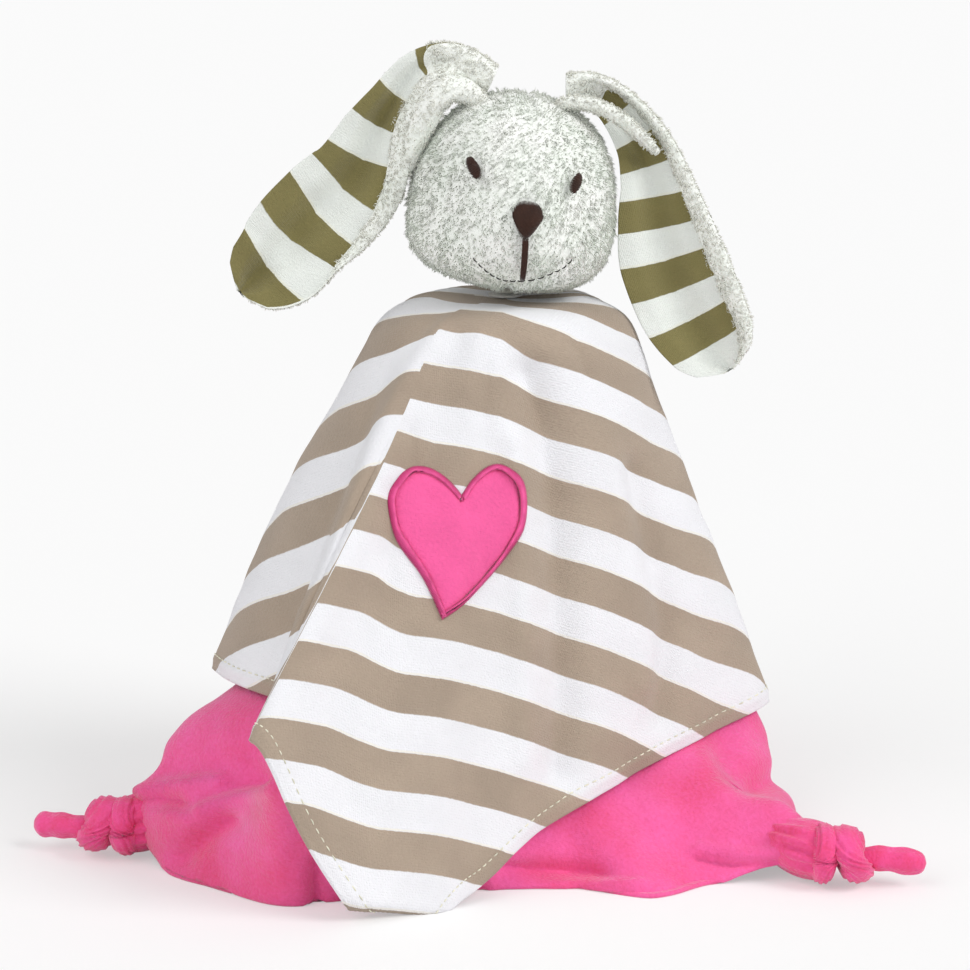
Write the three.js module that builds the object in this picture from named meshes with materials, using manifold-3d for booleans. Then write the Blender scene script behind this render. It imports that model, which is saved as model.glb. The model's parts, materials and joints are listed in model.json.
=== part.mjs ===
// Comfort blanket lovey: a plush rabbit head sewn to the middle of two square cloths.
// All lengths are in millimetres, all angles in degrees unless a name says otherwise.
// The z axis points up, the front of the toy faces minus y.
import * as THREE from 'three';
import { mergeVertices } from 'three/addons/utils/BufferGeometryUtils.js';
import Module from 'manifold-3d';

const wasm = await Module();
wasm.setup();

// Driving dimensions of the cloths
const CLOTH_SIDE = 375;
const CLOTH_THICK = 1.6;
const NECK_HEIGHT = 196;
const NECK_REACH = 41;
const SHOULDER = 17;
const UNDER_THICK = 1.6;
const UNDER_DROP = 3.2;
const FLOOR_LIFT = 0.4;
const FLOOR_SINK = 1.2;
const SEAT_GAP = 0.35;

// Driving dimensions of the heart patch
const HEART_WIDTH = 50;
const HEART_HEIGHT = 56.5;
const HEART_DROP = 84.5;
const HEART_ASIDE = 2.5;
const PATCH_THICK = 0.9;
const BORDER_WIDTH = 2.4;
const BORDER_THICK = 1.5;
const HEART_RING_SHARES = [0.5, 1];
const HEART_MIDDLE_SHARE = 0.45;
const SHARPEST_SHARE = 0.4;

// Driving dimensions of the knots
const KNOT_WRAP_RADIUS = 6.1;
const KNOT_CORD_RADIUS = 5;
const KNOT_LIFT = 0.4;
const KNOT_OUT = 144;
const OTHER_KNOTS_SHARE = 0.958;
const OTHER_KNOTS_OUT = KNOT_OUT * OTHER_KNOTS_SHARE;
const TAIL_LENGTH = 27;
const TAIL_WIDTH = 6;
const TAIL_THICK = 3.4;
const KNOT_MOUTH_SHARE = 1.35;
const SECOND_WRAP_SHARE = 0.9;
const SECOND_OUT_SHARE = 0.8;
const TAIL_OUT_SHARE = 0.6;
const TAIL_DOWN_SHARE = 0.35;
const TAIL_NARROW_SHARE = 0.7;
const TAIL_BELLY_SHARE = 0.8;
const FIRST_TURN_ANGLE = 18;
const FIRST_LEAN_ANGLE = 20;
const SECOND_TURN_ANGLE = -30;
const SECOND_LEAN_ANGLE = 14;

// Driving dimensions of the head
const HEAD_WIDTH = 74.5;
const HEAD_DEPTH = 76;
const HEAD_RISE = 45;
const HEAD_FALL = 24.5;
const HEAD_ABOVE = 29.5;
const HEAD_UP = NECK_HEIGHT + HEAD_ABOVE;
const HEAD_ASIDE = 2;
const MUZZLE = 3;
const MUZZLE_SPREAD = 15;
const MUZZLE_UP = 3;
const PLUSH_THICK = 2.6;
const BACK_SEAM = 8;
const CROWN_POWER_SHARE = 2.2;
const JAW_POWER_SHARE = 2.8;

// Driving dimensions of the neck
const PIVOT_ABOVE = 10;
const PIVOT_UP = NECK_HEIGHT + PIVOT_ABOVE;
const BALL_RADIUS = 6.4;
const THREAD_RING = 7.7;
const THREAD_TUBE = 0.8;
const SOCKET_RADIUS = 9;
const BALL_FOOT = 3.6;
const DISC_RADIUS = 6;
const DISC_THICK = 1;

// Driving dimensions of the face
const EYE_WIDTH = 5.2;
const EYE_HEIGHT = 7.8;
const EYE_ASIDE = 17.6;
const EYE_UP = 20.2;
const EYE_THICK = 1.4;
const NOSE_WIDTH = 11.4;
const NOSE_HEIGHT = 13;
const NOSE_UP = 7;
const NOSE_THICK = 2.2;
const MOUTH_WIDTH = 2.1;
const MOUTH_LENGTH = 15.5;
const MOUTH_UP = -8.2;
const MOUTH_THICK = 1.1;
const EYE_SLANT_SHARE = 0.15;
const EDGE_SHARE = 0.35;
const DOME_SHARE = 0.98;
const FACE_RING_SHARES = [0.45, 0.8, 1];
const SHIELD_TOP_SHARE = 1.12;
const SHIELD_TAPER_SHARE = 0.45;
const SHIELD_BELLY_SHARE = 0.25;
const SHIELD_POWER_SHARE = 1.5;

// Driving dimensions of the ears
const EAR_LENGTH = 125;
const EAR_THICK = 3.2;
const LINING_THICK = 1.2;
const LINING_INSET = 2.6;
const EAR_CUP = 4;
const EAR_ROOT = 4.6;
const EAR_ROOT_ASIDE = 13;
const LEAST_WIDTH_SHARE = 0.5;
const EAR_EDGE_POWER_SHARE = 4;
const CAP_ANGLE = 80;

// Angles of the head against the cloths
const HEAD_TURN_ANGLE = 6;
const HEAD_LEAN_ANGLE = 8;

// Colours
const WHITE = 0xf4f4f6;
const TAUPE = 0xa39078;
const PINK = 0xf2569a;
const HEART_PINK = 0xf7609f;
const CREAM = 0xeff0e6;
const BROWN = 0x3f2314;

// The striped cloth, one row for each crest or hollow of the hem
// share of a side from the front corner along the hem to the right, azimuth, radius share,
// height share, bulge share, tuck share of the cloth beneath
const HEM_SHARES = [
  [-0.544, -90, 0.286, 0.157, 0.03, 0.04],
  [-0.392, -53, 0.268, 0.176, 0.03, 0.02],
  [-0.262, -38.2, 0.366, 0.174, 0.02, 0.02],
  [-0.133, -30, 0.333, 0.062, 0, 0.02],
  [-0.067, -23.4, 0.305, 0.01, 0, 0.02],
  [0, -17.8, 0.281, 0.003, 0, 0.02],
  [0.131, -7.8, 0.237, 0.012, 0, 0.018],
  [0.24, 10.7, 0.19, 0.057, 0, 0.016],
  [0.348, 42.6, 0.174, 0.088, 0, 0.016],
  [0.457, 73.8, 0.21, 0.111, 0, 0.018],
  [0.533, 92.9, 0.26, 0.12, 0, 0.034],
  [0.765, 108, 0.13, 0.06, 0, 0.03],
  [1, 123, 0.28, 0.003, 0, 0.075],
  [1.25, 138, 0.135, 0.06, 0, 0.025],
  [1.5, 152, 0.268, 0.14, 0, 0.07],
  [1.75, 167, 0.13, 0.06, 0, 0.025],
  [2, 182, 0.3, 0.003, 0, 0.08],
  [2.25, 197, 0.13, 0.06, 0, 0.025],
  [2.5, 212, 0.268, 0.14, 0, 0.07],
  [2.75, 226.5, 0.135, 0.06, 0, 0.025],
  [3, 241, 0.28, 0.003, 0.01, 0.075],
  [3.23, 256, 0.13, 0.06, 0.02, 0.034],
];
const HEM_COLUMNS = [4, 3, 3, 2, 2, 3, 3, 3, 3, 3, 5, 5, 5, 5, 5, 5, 5, 5, 5, 5, 5, 5];
const SIDE_COUNT = 4;

// A corner of the under cloth ends where its knot begins
function cornerShare(out) {
  return (out - KNOT_MOUTH_SHARE * KNOT_CORD_RADIUS - SEAT_GAP) / CLOTH_SIDE;
}

// The under cloth where it meets the floor, on the same columns
// share of a side, azimuth, radius share, height share, puff of the fall outside the upper hem
const FLOOR_SHARES = [
  [-0.53, -87, 0.3, 0, 0.5],
  [-0.49, -80, 0.325, 0.02, 0.8],
  [-0.46, -74.7, cornerShare(KNOT_OUT), 0.03, 0.9],
  [-0.43, -69, 0.325, 0.015, 0.6],
  [-0.34, -54, 0.325, 0, 0.5],
  [-0.262, -40, 0.31, 0, 0.4],
  [-0.15, -31, 0.25, 0, 0.2],
  [0, -17.8, 0.22, 0, 0],
  [0.15, -2, 0.187, 0, 0],
  [0.27, 20, 0.2, 0, 0.1],
  [0.32, 33, 0.258, 0, 0.2],
  [0.36, 45, 0.262, 0, 0.3],
  [0.4, 54, 0.3, 0.02, 0.6],
  [0.425, 59, cornerShare(OTHER_KNOTS_OUT), 0.03, 0.8],
  [0.45, 64, 0.31, 0.02, 0.7],
  [0.533, 84, 0.28, 0, 0.6],
  [0.62, 97, 0.22, 0, 0.2],
  [0.765, 108, 0.15, 0, 0],
  [1, 123, 0.2, 0, 0],
  [1.25, 138, 0.155, 0, 0],
  [1.42, 147, 0.3, 0.012, 0.3],
  [1.5, 152, cornerShare(OTHER_KNOTS_OUT), 0.03, 0.5],
  [1.58, 157, 0.3, 0.012, 0.3],
  [1.75, 167, 0.155, 0, 0],
  [2, 182, 0.21, 0, 0],
  [2.25, 197, 0.155, 0, 0],
  [2.42, 207, 0.3, 0.012, 0.3],
  [2.5, 212, cornerShare(OTHER_KNOTS_OUT), 0.03, 0.5],
  [2.58, 217, 0.3, 0.012, 0.3],
  [2.75, 226.5, 0.155, 0, 0],
  [3, 241, 0.2, 0, 0],
  [3.23, 256, 0.15, 0, 0],
  [3.38, 265, 0.22, 0, 0.2],
];
const FRONT_COLUMNS = [2, 2, 2, 2, 2, 3, 3, 3, 2, 2, 2, 2, 2, 2, 2, 2];
const BACK_COLUMNS = [3, 4, 4, 3, 2, 2, 3, 4, 4, 3, 2, 2, 3, 4, 4, 2, 2];
const FLOOR_COLUMNS = [...FRONT_COLUMNS, ...BACK_COLUMNS];

// Knots of the under cloth: azimuth, and azimuth of the tail
const KNOT_ANGLES = {
  front_left: [-74.7, -104],
  front_right: [59, 88],
  back_right: [152, 150],
  back_left: [212, 215],
};

// Outline of the heart: from the dip between its lobes down its right side to the tip, and back up
// sideways share of half its width, share of its height from the top
const HEART_RIGHT_SHARES = [
  [0.07, 0.24],
  [0.25, 0.13],
  [0.59, 0],
  [0.86, 0.06],
  [1, 0.2],
  [1.05, 0.38],
  [0.88, 0.61],
  [0.5, 0.83],
  [-0.06, 1],
];
const HEART_LEFT_SHARES = [
  [-0.06, 1],
  [-0.38, 0.79],
  [-0.67, 0.63],
  [-0.87, 0.47],
  [-0.96, 0.33],
  [-0.82, 0.18],
  [-0.55, 0.1],
  [-0.28, 0.13],
  [0.07, 0.24],
];

// Middle line of each ear from its root to its tip
// sideways share, height share, depth share and half width share of the ear's length
const LEFT_EAR_SHARES = [
  [-0.11, 0.051, 0, 0.048],
  [-0.206, 0.027, 0, 0.056],
  [-0.286, -0.065, 0, 0.068],
  [-0.33, -0.145, 0, 0.096],
  [-0.385, -0.275, -0.004, 0.136],
  [-0.462, -0.361, -0.012, 0.15],
  [-0.542, -0.433, -0.02, 0.144],
  [-0.6, -0.505, -0.026, 0.138],
  [-0.662, -0.556, -0.032, 0.112],
  [-0.722, -0.606, -0.036, 0.05],
];
const RIGHT_EAR_SHARES = [
  [0.067, 0, 0, 0.044],
  [0.143, -0.048, 0, 0.056],
  [0.219, -0.148, 0, 0.072],
  [0.259, -0.252, 0, 0.092],
  [0.283, -0.364, -0.004, 0.12],
  [0.311, -0.484, -0.01, 0.144],
  [0.363, -0.62, -0.016, 0.146],
  [0.427, -0.732, -0.022, 0.124],
  [0.475, -0.808, -0.026, 0.056],
];

const PATH_COUNT = 24;
const ROW_SHARES = [0, 0.12, 0.19, 0.27, 0.6, 1];
const UPPER_SHARE = 0.7;
const UNDER_ROW_SHARES = [0, 0.1, 0.15, 0.7, 0.84, 1];
const LEAVE_HEIGHT = 16;
const STEEP_OUT_SHARE = 0.45;
const STEEP_UP_SHARE = 0.35;
const ROUND_UP_SHARE = 0.55;
const NORMAL_STEP_SHARE = 0.004;
const POLE_SHARE = 0.02;
const PATCH_GAP = 0.45;
const FACE_GAP = 0.4;
const SEAM_GAP = 0.4;
const HEART_COUNT = 32;
const EYE_COUNT = 12;
const NOSE_COUNT = 16;
const TAIL_STEP_COUNT = 6;
const TAIL_FACET_COUNT = 8;
const KNOT_FACET_COUNT = 6;
const KNOT_STEP_COUNT = 9;
const OUTER_AROUND_COUNT = 22;
const OUTER_ROW_COUNT = 13;
const INNER_AROUND_COUNT = 14;
const INNER_ROW_COUNT = 8;
const BALL_COUNT = 16;
const THREAD_COUNT = 6;
const EAR_ACROSS_COUNT = 4;
const EAR_STEP_COUNT = 13;
const EAR_CAP_COUNT = 3;

const rad = THREE.MathUtils.degToRad;

// Closed meshes

function volumeOf(points, faces) {
  const corner = faces.map((face) => face.map((i) => new THREE.Vector3(...points[i])));
  return corner.reduce((sum, [a, b, c]) => sum + a.dot(b.cross(c)) / 6, 0);
}

function meshFrom(points, faces) {
  const outward = volumeOf(points, faces) > 0;
  const turned = outward ? faces : faces.map(([a, b, c]) => [a, c, b]);
  const geometry = new THREE.BufferGeometry();
  geometry.setAttribute('position', new THREE.Float32BufferAttribute(points.flat(), 3));
  geometry.setIndex(turned.flat());
  return mergeVertices(geometry);
}

function bare(geometry) {
  const copy = geometry.clone();
  copy.deleteAttribute('normal');
  copy.deleteAttribute('uv');
  return mergeVertices(copy);
}

function solid(geometry) {
  const plain = bare(geometry);
  const vertProperties = new Float32Array(plain.attributes.position.array);
  const triVerts = new Uint32Array(plain.index.array);
  return new wasm.Manifold(new wasm.Mesh({ numProp: 3, vertProperties, triVerts }));
}

function geometryOf(manifold) {
  const mesh = manifold.getMesh();
  const geometry = new THREE.BufferGeometry();
  geometry.setAttribute('position', new THREE.Float32BufferAttribute(mesh.vertProperties, 3));
  geometry.setIndex(Array.from(mesh.triVerts));
  return geometry;
}

function named(name, geometry, color, roughness = 0.95) {
  const shaded = geometry.toNonIndexed();
  shaded.computeVertexNormals();
  const material = new THREE.MeshStandardMaterial({ color, roughness, metalness: 0 });
  const mesh = new THREE.Mesh(shaded, material);
  mesh.name = name;
  return mesh;
}

function block(low, high) {
  const size = new THREE.Vector3().subVectors(high, low);
  const box = new THREE.BoxGeometry(size.x, size.y, size.z);
  box.translate((low.x + high.x) / 2, (low.y + high.y) / 2, (low.z + high.z) / 2);
  return box;
}

// Reading a table round the hem

function hermite(a, b, slopeA, slopeB, span, share) {
  const t = share;
  const rise = t * t * (3 - 2 * t);
  return a + (b - a) * rise + span * (slopeA * t * (1 - t) * (1 - t) - slopeB * t * t * (1 - t));
}

function wrapRow(table, index) {
  const turn = Math.floor(index / table.length);
  const row = table[index - turn * table.length];
  return [row[0] + SIDE_COUNT * turn, row[1] + 360 * turn, ...row.slice(2)];
}

function slopeAt(table, index, column) {
  const before = wrapRow(table, index - 1);
  const here = wrapRow(table, index);
  const after = wrapRow(table, index + 1);
  const left = (here[column] - before[column]) / (here[0] - before[0]);
  const right = (after[column] - here[column]) / (after[0] - here[0]);
  if (left * right <= 0) {
    return 0;
  }
  return (2 * left * right) / (left + right);
}

function readTable(table, along) {
  let index = -1;
  while (wrapRow(table, index + 1)[0] <= along) {
    index += 1;
  }
  const low = wrapRow(table, index);
  const high = wrapRow(table, index + 1);
  const span = high[0] - low[0];
  const share = (along - low[0]) / span;
  const read = (c) =>
    hermite(low[c], high[c], slopeAt(table, index, c), slopeAt(table, index + 1, c), span, share);
  return {
    azimuth: rad(read(1)),
    radius: read(2) * CLOTH_SIDE,
    height: read(3) * CLOTH_SIDE,
    bulge: read(4),
    tuck: low.length > 5 ? read(5) * CLOTH_SIDE : 0,
  };
}

// Flat shape of the striped cloth: distance from the middle to the hem

function flatAngle(along) {
  const side = Math.floor(along);
  return rad(90 * side + 45) + Math.atan(2 * (along - side) - 1);
}

function alongAt(angle) {
  const side = Math.floor(angle / rad(90));
  return side + (1 + Math.tan(angle - rad(90 * side + 45))) / 2;
}

// A column of cloth from the middle over the shoulder to its hem

function bezier(points, share) {
  let list = points;
  while (list.length > 1) {
    list = list.slice(1).map((p, i) => [
      list[i][0] + (p[0] - list[i][0]) * share,
      list[i][1] + (p[1] - list[i][1]) * share,
    ]);
  }
  return list[0];
}

function pathOf(segments) {
  const points = [];
  segments.forEach((segment, number) => {
    for (let i = number === 0 ? 0 : 1; i <= PATH_COUNT; i += 1) {
      points.push(bezier(segment, i / PATH_COUNT));
    }
  });
  const length = [0];
  for (let i = 1; i < points.length; i += 1) {
    const step = Math.hypot(points[i][0] - points[i - 1][0], points[i][1] - points[i - 1][1]);
    length.push(length[i - 1] + step);
  }
  return { points, length };
}

function alongPath(path, share) {
  const want = share * path.length[path.length.length - 1];
  let i = 1;
  while (i < path.length.length - 1 && path.length[i] < want) {
    i += 1;
  }
  const part = (want - path.length[i - 1]) / (path.length[i] - path.length[i - 1]);
  const low = path.points[i - 1];
  const high = path.points[i];
  return [low[0] + (high[0] - low[0]) * part, low[1] + (high[1] - low[1]) * part];
}

function fallFrom(reach, height, foot, bulge) {
  const fall = [foot[0] - reach, foot[1] - height];
  const length = Math.hypot(fall[0], fall[1]);
  const turn = SHOULDER / length;
  const low = [reach + fall[0] * turn, height + fall[1] * turn];
  const middle = [(low[0] + foot[0]) / 2 - fall[1] * bulge, (low[1] + foot[1]) / 2 + fall[0] * bulge];
  const flat = [reach - SHOULDER, height];
  return [[[0, height], flat], [flat, [reach, height], low], [low, middle, foot]];
}

function stripedSegments(along) {
  const hem = readTable(HEM_SHARES, along);
  const foot = Math.max(hem.height, FLOOR_LIFT + CLOTH_THICK / 2);
  return fallFrom(NECK_REACH, NECK_HEIGHT, [hem.radius, foot], hem.bulge);
}

function stripedLength(along, share) {
  const path = pathOf(stripedSegments(along));
  return path.length[path.length.length - 1] * share;
}

function stripedPoint(along, share) {
  const [radius, height] = alongPath(pathOf(stripedSegments(along)), share);
  const azimuth = readTable(HEM_SHARES, along).azimuth;
  return new THREE.Vector3(radius * Math.sin(azimuth), -radius * Math.cos(azimuth), height);
}

// Thin shells on a grid of columns and rows

function normalOn(point, along, share) {
  const step = NORMAL_STEP_SHARE;
  const low = Math.max(share - step, step / 2);
  const high = Math.min(share + step, 1);
  const down = new THREE.Vector3().subVectors(point(along, high), point(along, low));
  const middle = Math.max(share, POLE_SHARE);
  const aside = new THREE.Vector3().subVectors(point(along + step, middle), point(along - step, middle));
  return down.cross(aside).normalize();
}

function columnsOf(table, counts) {
  const list = [];
  table.forEach((row, index) => {
    const next = wrapRow(table, index + 1)[0];
    for (let i = 0; i < counts[index]; i += 1) {
      list.push(row[0] + ((next - row[0]) * i) / counts[index]);
    }
  });
  return list;
}

function shell(point, columns, rows, above, below) {
  const points = [];
  const count = columns.length;
  const top = [];
  const under = [];
  const pole = point(columns[0], 0);
  points.push([pole.x, pole.y, pole.z + above]);
  points.push([pole.x, pole.y, pole.z - below]);
  for (let r = 1; r < rows.length; r += 1) {
    for (let c = 0; c < count; c += 1) {
      const middle = point(columns[c], rows[r]);
      const normal = normalOn(point, columns[c], rows[r]);
      top.push(points.length);
      points.push(middle.clone().addScaledVector(normal, above).toArray());
      under.push(points.length);
      points.push(middle.clone().addScaledVector(normal, -below).toArray());
    }
  }
  const faces = [];
  for (let c = 0; c < count; c += 1) {
    const n = (c + 1) % count;
    faces.push([0, top[c], top[n]], [1, under[n], under[c]]);
    for (let r = 1; r < rows.length - 1; r += 1) {
      const a = (r - 1) * count;
      const b = r * count;
      faces.push([top[a + c], top[b + c], top[b + n]], [top[a + c], top[b + n], top[a + n]]);
      faces.push([under[a + c], under[b + n], under[b + c]], [under[a + c], under[a + n], under[b + n]]);
    }
    const e = (rows.length - 2) * count;
    faces.push([top[e + c], under[e + c], under[e + n]], [top[e + c], under[e + n], top[e + n]]);
  }
  return meshFrom(points, faces);
}

function stripedCloth() {
  const columns = columnsOf(HEM_SHARES, HEM_COLUMNS);
  const geometry = shell(stripedPoint, columns, ROW_SHARES, CLOTH_THICK / 2, CLOTH_THICK / 2);
  return named('striped_cloth', geometry, TAUPE);
}

// The under cloth falls inside the striped one, comes out below its hem and spreads on the floor

function underPoint(along, share) {
  const hem = readTable(HEM_SHARES, along);
  const floor = readTable(FLOOR_SHARES, along);
  const foot = Math.max(hem.height, FLOOR_LIFT + CLOTH_THICK / 2);
  const leave = Math.max(foot, LEAVE_HEIGHT);
  const drop = (NECK_HEIGHT - leave) / (NECK_HEIGHT - foot);
  const radius = NECK_REACH + (hem.radius - NECK_REACH) * drop - hem.tuck;
  const top = NECK_HEIGHT - UNDER_DROP;
  const first = fallFrom(NECK_REACH - UNDER_DROP, top, [radius, leave], hem.bulge);
  const floorHeight = floor.height - FLOOR_SINK;
  const away = leave - floorHeight;
  const steep = [radius + (floor.radius - radius) * STEEP_OUT_SHARE, floorHeight + away * STEEP_UP_SHARE];
  const round = [floor.radius, floorHeight + away * ROUND_UP_SHARE];
  const control = [
    steep[0] + (round[0] - steep[0]) * floor.bulge,
    steep[1] + (round[1] - steep[1]) * floor.bulge,
  ];
  const last = [[radius, leave], control, [floor.radius, floorHeight]];
  const upper = UPPER_SHARE;
  const swing = Math.max(0, (share - upper) / (1 - upper));
  const path = share <= upper ? pathOf(first) : pathOf([last]);
  const [r, z] = alongPath(path, share <= upper ? share / upper : swing);
  const azimuth = hem.azimuth + (floor.azimuth - hem.azimuth) * swing;
  return new THREE.Vector3(r * Math.sin(azimuth), -r * Math.cos(azimuth), z);
}

function underCloth() {
  const columns = columnsOf(FLOOR_SHARES, FLOOR_COLUMNS);
  const geometry = shell(underPoint, columns, UNDER_ROW_SHARES, UNDER_THICK / 2, UNDER_THICK / 2);
  const wide = CLOTH_SIDE;
  const low = new THREE.Vector3(-wide, -wide, -wide);
  const floor = solid(block(low, new THREE.Vector3(wide, wide, 0)));
  return named('under_cloth', geometryOf(solid(geometry).subtract(floor)), PINK);
}

// Patches that lie on a surface: a grid of rings from the middle to an outline

function patch(place, outline, rings, low, high) {
  const points = [place(0, 0, low), place(0, 0, high(0))];
  const count = outline.length;
  rings.forEach((ring) => {
    outline.forEach(([x, y]) => {
      points.push(place(x * ring, y * ring, low));
      points.push(place(x * ring, y * ring, high(ring)));
    });
  });
  const at = (r, c, side) => 2 + 2 * (r * count + (c % count)) + side;
  const faces = [];
  for (let c = 0; c < count; c += 1) {
    faces.push([1, at(0, c, 1), at(0, c + 1, 1)], [0, at(0, c + 1, 0), at(0, c, 0)]);
    for (let r = 0; r < rings.length - 1; r += 1) {
      faces.push([at(r, c, 1), at(r + 1, c, 1), at(r + 1, c + 1, 1)]);
      faces.push([at(r, c, 1), at(r + 1, c + 1, 1), at(r, c + 1, 1)]);
      faces.push([at(r, c, 0), at(r + 1, c + 1, 0), at(r + 1, c, 0)]);
      faces.push([at(r, c, 0), at(r, c + 1, 0), at(r + 1, c + 1, 0)]);
    }
    const e = rings.length - 1;
    faces.push([at(e, c, 1), at(e, c, 0), at(e, c + 1, 0)]);
    faces.push([at(e, c, 1), at(e, c + 1, 0), at(e, c + 1, 1)]);
  }
  return meshFrom(points.map((p) => p.toArray()), faces);
}

function band(place, inner, outer, low, high) {
  const points = [];
  const count = inner.length;
  inner.forEach((p, i) => {
    const q = outer[i];
    points.push(place(p[0], p[1], low), place(q[0], q[1], low));
    points.push(place(q[0], q[1], (low + high) / 2));
    points.push(place((p[0] + q[0]) / 2, (p[1] + q[1]) / 2, high));
    points.push(place(p[0], p[1], (low + high) / 2));
  });
  const faces = [];
  for (let c = 0; c < count; c += 1) {
    const n = (c + 1) % count;
    for (let k = 0; k < 5; k += 1) {
      const m = (k + 1) % 5;
      faces.push([5 * c + k, 5 * n + m, 5 * n + k], [5 * c + k, 5 * c + m, 5 * n + m]);
    }
  }
  return meshFrom(points.map((p) => p.toArray()), faces);
}

function onStriped(aside, down, lift) {
  const angle = Math.atan2(aside, down);
  const along = alongAt(angle);
  const share = Math.hypot(aside, down) / stripedLength(along, 1);
  return stripedPoint(along, share).addScaledVector(normalOn(stripedPoint, along, share), lift);
}

function heartSide(shares) {
  const middle = HEART_MIDDLE_SHARE;
  const knots = shares.map(([x, y]) => new THREE.Vector3(x, y - middle, 0));
  const curve = new THREE.CatmullRomCurve3(knots);
  const size = new THREE.Vector3(HEART_WIDTH / 2, HEART_HEIGHT, 1);
  return curve.getPoints(HEART_COUNT / 2).slice(1).map((point) => point.multiply(size));
}

// The outline moved inwards, square to the lines on both sides of each point
function heartOutline(inset) {
  const points = [...heartSide(HEART_RIGHT_SHARES), ...heartSide(HEART_LEFT_SHARES)];
  const inward = (from, to) => new THREE.Vector3(from.y - to.y, to.x - from.x, 0).normalize();
  return points.map((point, i) => {
    const before = points[(i + points.length - 1) % points.length];
    const after = points[(i + 1) % points.length];
    const normal = inward(before, point).add(inward(point, after)).divideScalar(2);
    const reach = inset / Math.max(SHARPEST_SHARE, normal.length());
    normal.normalize();
    return [point.x + normal.x * reach, point.y + normal.y * reach];
  });
}

function onHeart(x, y, lift) {
  return onStriped(HEART_ASIDE + x, HEART_DROP + HEART_MIDDLE_SHARE * HEART_HEIGHT + y, lift);
}

function heartPatch() {
  const low = CLOTH_THICK / 2 + PATCH_GAP;
  const outline = heartOutline(BORDER_WIDTH + SEAT_GAP);
  const top = () => low + PATCH_THICK;
  return named('heart_patch', patch(onHeart, outline, HEART_RING_SHARES, low, top), HEART_PINK);
}

function heartBorder() {
  const low = CLOTH_THICK / 2 + PATCH_GAP;
  const inner = heartOutline(BORDER_WIDTH);
  const outer = heartOutline(0);
  return named('heart_border', band(onHeart, outer, inner, low, low + BORDER_THICK), HEART_PINK);
}

// Knots

function tailGeometry() {
  const points = [];
  const faces = [];
  const rings = TAIL_STEP_COUNT;
  points.push([0, 0, 0]);
  for (let r = 1; r < rings; r += 1) {
    const t = r / rings;
    const belly = Math.sqrt(Math.sin(Math.PI * t ** TAIL_BELLY_SHARE));
    const wide = TAIL_WIDTH * belly * (TAIL_NARROW_SHARE + (1 - TAIL_NARROW_SHARE) * t);
    const thick = TAIL_THICK * belly;
    for (let c = 0; c < TAIL_FACET_COUNT; c += 1) {
      const a = (2 * Math.PI * c) / TAIL_FACET_COUNT;
      points.push([TAIL_LENGTH * t, wide * Math.cos(a), thick * Math.sin(a)]);
    }
  }
  points.push([TAIL_LENGTH, 0, 0]);
  const last = points.length - 1;
  for (let c = 0; c < TAIL_FACET_COUNT; c += 1) {
    const n = (c + 1) % TAIL_FACET_COUNT;
    faces.push([0, 1 + n, 1 + c]);
    for (let r = 0; r < rings - 2; r += 1) {
      const a = 1 + r * TAIL_FACET_COUNT;
      const b = a + TAIL_FACET_COUNT;
      faces.push([a + c, a + n, b + n], [a + c, b + n, b + c]);
    }
    const e = 1 + (rings - 2) * TAIL_FACET_COUNT;
    faces.push([e + c, e + n, last]);
  }
  return meshFrom(points, faces);
}

function knotGeometry() {
  const cord = KNOT_CORD_RADIUS;
  const first = new THREE.TorusGeometry(KNOT_WRAP_RADIUS, cord, KNOT_FACET_COUNT, KNOT_STEP_COUNT);
  first.rotateY(rad(90)).rotateZ(rad(FIRST_TURN_ANGLE)).rotateX(rad(FIRST_LEAN_ANGLE));
  const inner = KNOT_WRAP_RADIUS * SECOND_WRAP_SHARE;
  const second = new THREE.TorusGeometry(inner, cord, KNOT_FACET_COUNT, KNOT_STEP_COUNT);
  second.rotateY(rad(90)).rotateZ(rad(SECOND_TURN_ANGLE)).rotateY(rad(SECOND_LEAN_ANGLE));
  second.translate(cord * SECOND_OUT_SHARE, 0, 0);
  const core = new THREE.SphereGeometry(KNOT_WRAP_RADIUS, TAIL_FACET_COUNT, KNOT_FACET_COUNT);
  const tail = tailGeometry().translate(cord * TAIL_OUT_SHARE, 0, -cord * TAIL_DOWN_SHARE);
  return geometryOf(solid(first).add(solid(second)).add(solid(core)).add(solid(tail)));
}

function knot(name, [azimuth, heading]) {
  const out = name === 'front_left' ? KNOT_OUT : OTHER_KNOTS_OUT;
  const geometry = knotGeometry();
  geometry.rotateZ(rad(heading - 90));
  geometry.computeBoundingBox();
  const radial = rad(azimuth);
  const lift = KNOT_LIFT - geometry.boundingBox.min.z;
  geometry.translate(out * Math.sin(radial), -out * Math.cos(radial), lift);
  return named('knot_' + name, geometry, PINK);
}

// The head

function placeHead(point) {
  const turn = rad(HEAD_TURN_ANGLE);
  const lean = rad(HEAD_LEAN_ANGLE);
  point.applyAxisAngle(new THREE.Vector3(0, 0, 1), turn);
  point.applyAxisAngle(new THREE.Vector3(0, 1, 0), lean);
  return point.add(new THREE.Vector3(HEAD_ASIDE, 0, HEAD_UP));
}

function headPoint(turn, height, grow) {
  const rise = height > 0 ? HEAD_RISE + grow : HEAD_FALL + grow;
  const full = height > 0 ? CROWN_POWER_SHARE : JAW_POWER_SHARE;
  const up = Math.min(1, Math.abs(height));
  const ring = (1 - up ** full) ** (1 / full);
  const x = (HEAD_WIDTH / 2 + grow) * ring * Math.sin(turn);
  let y = -(HEAD_DEPTH / 2 + grow) * ring * Math.cos(turn);
  const z = rise * height;
  if (y < 0) {
    const off = Math.hypot(x, z - MUZZLE_UP) / MUZZLE_SPREAD;
    y -= MUZZLE * Math.exp(-off * off) * ring;
  }
  return new THREE.Vector3(x, y, z);
}

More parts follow.
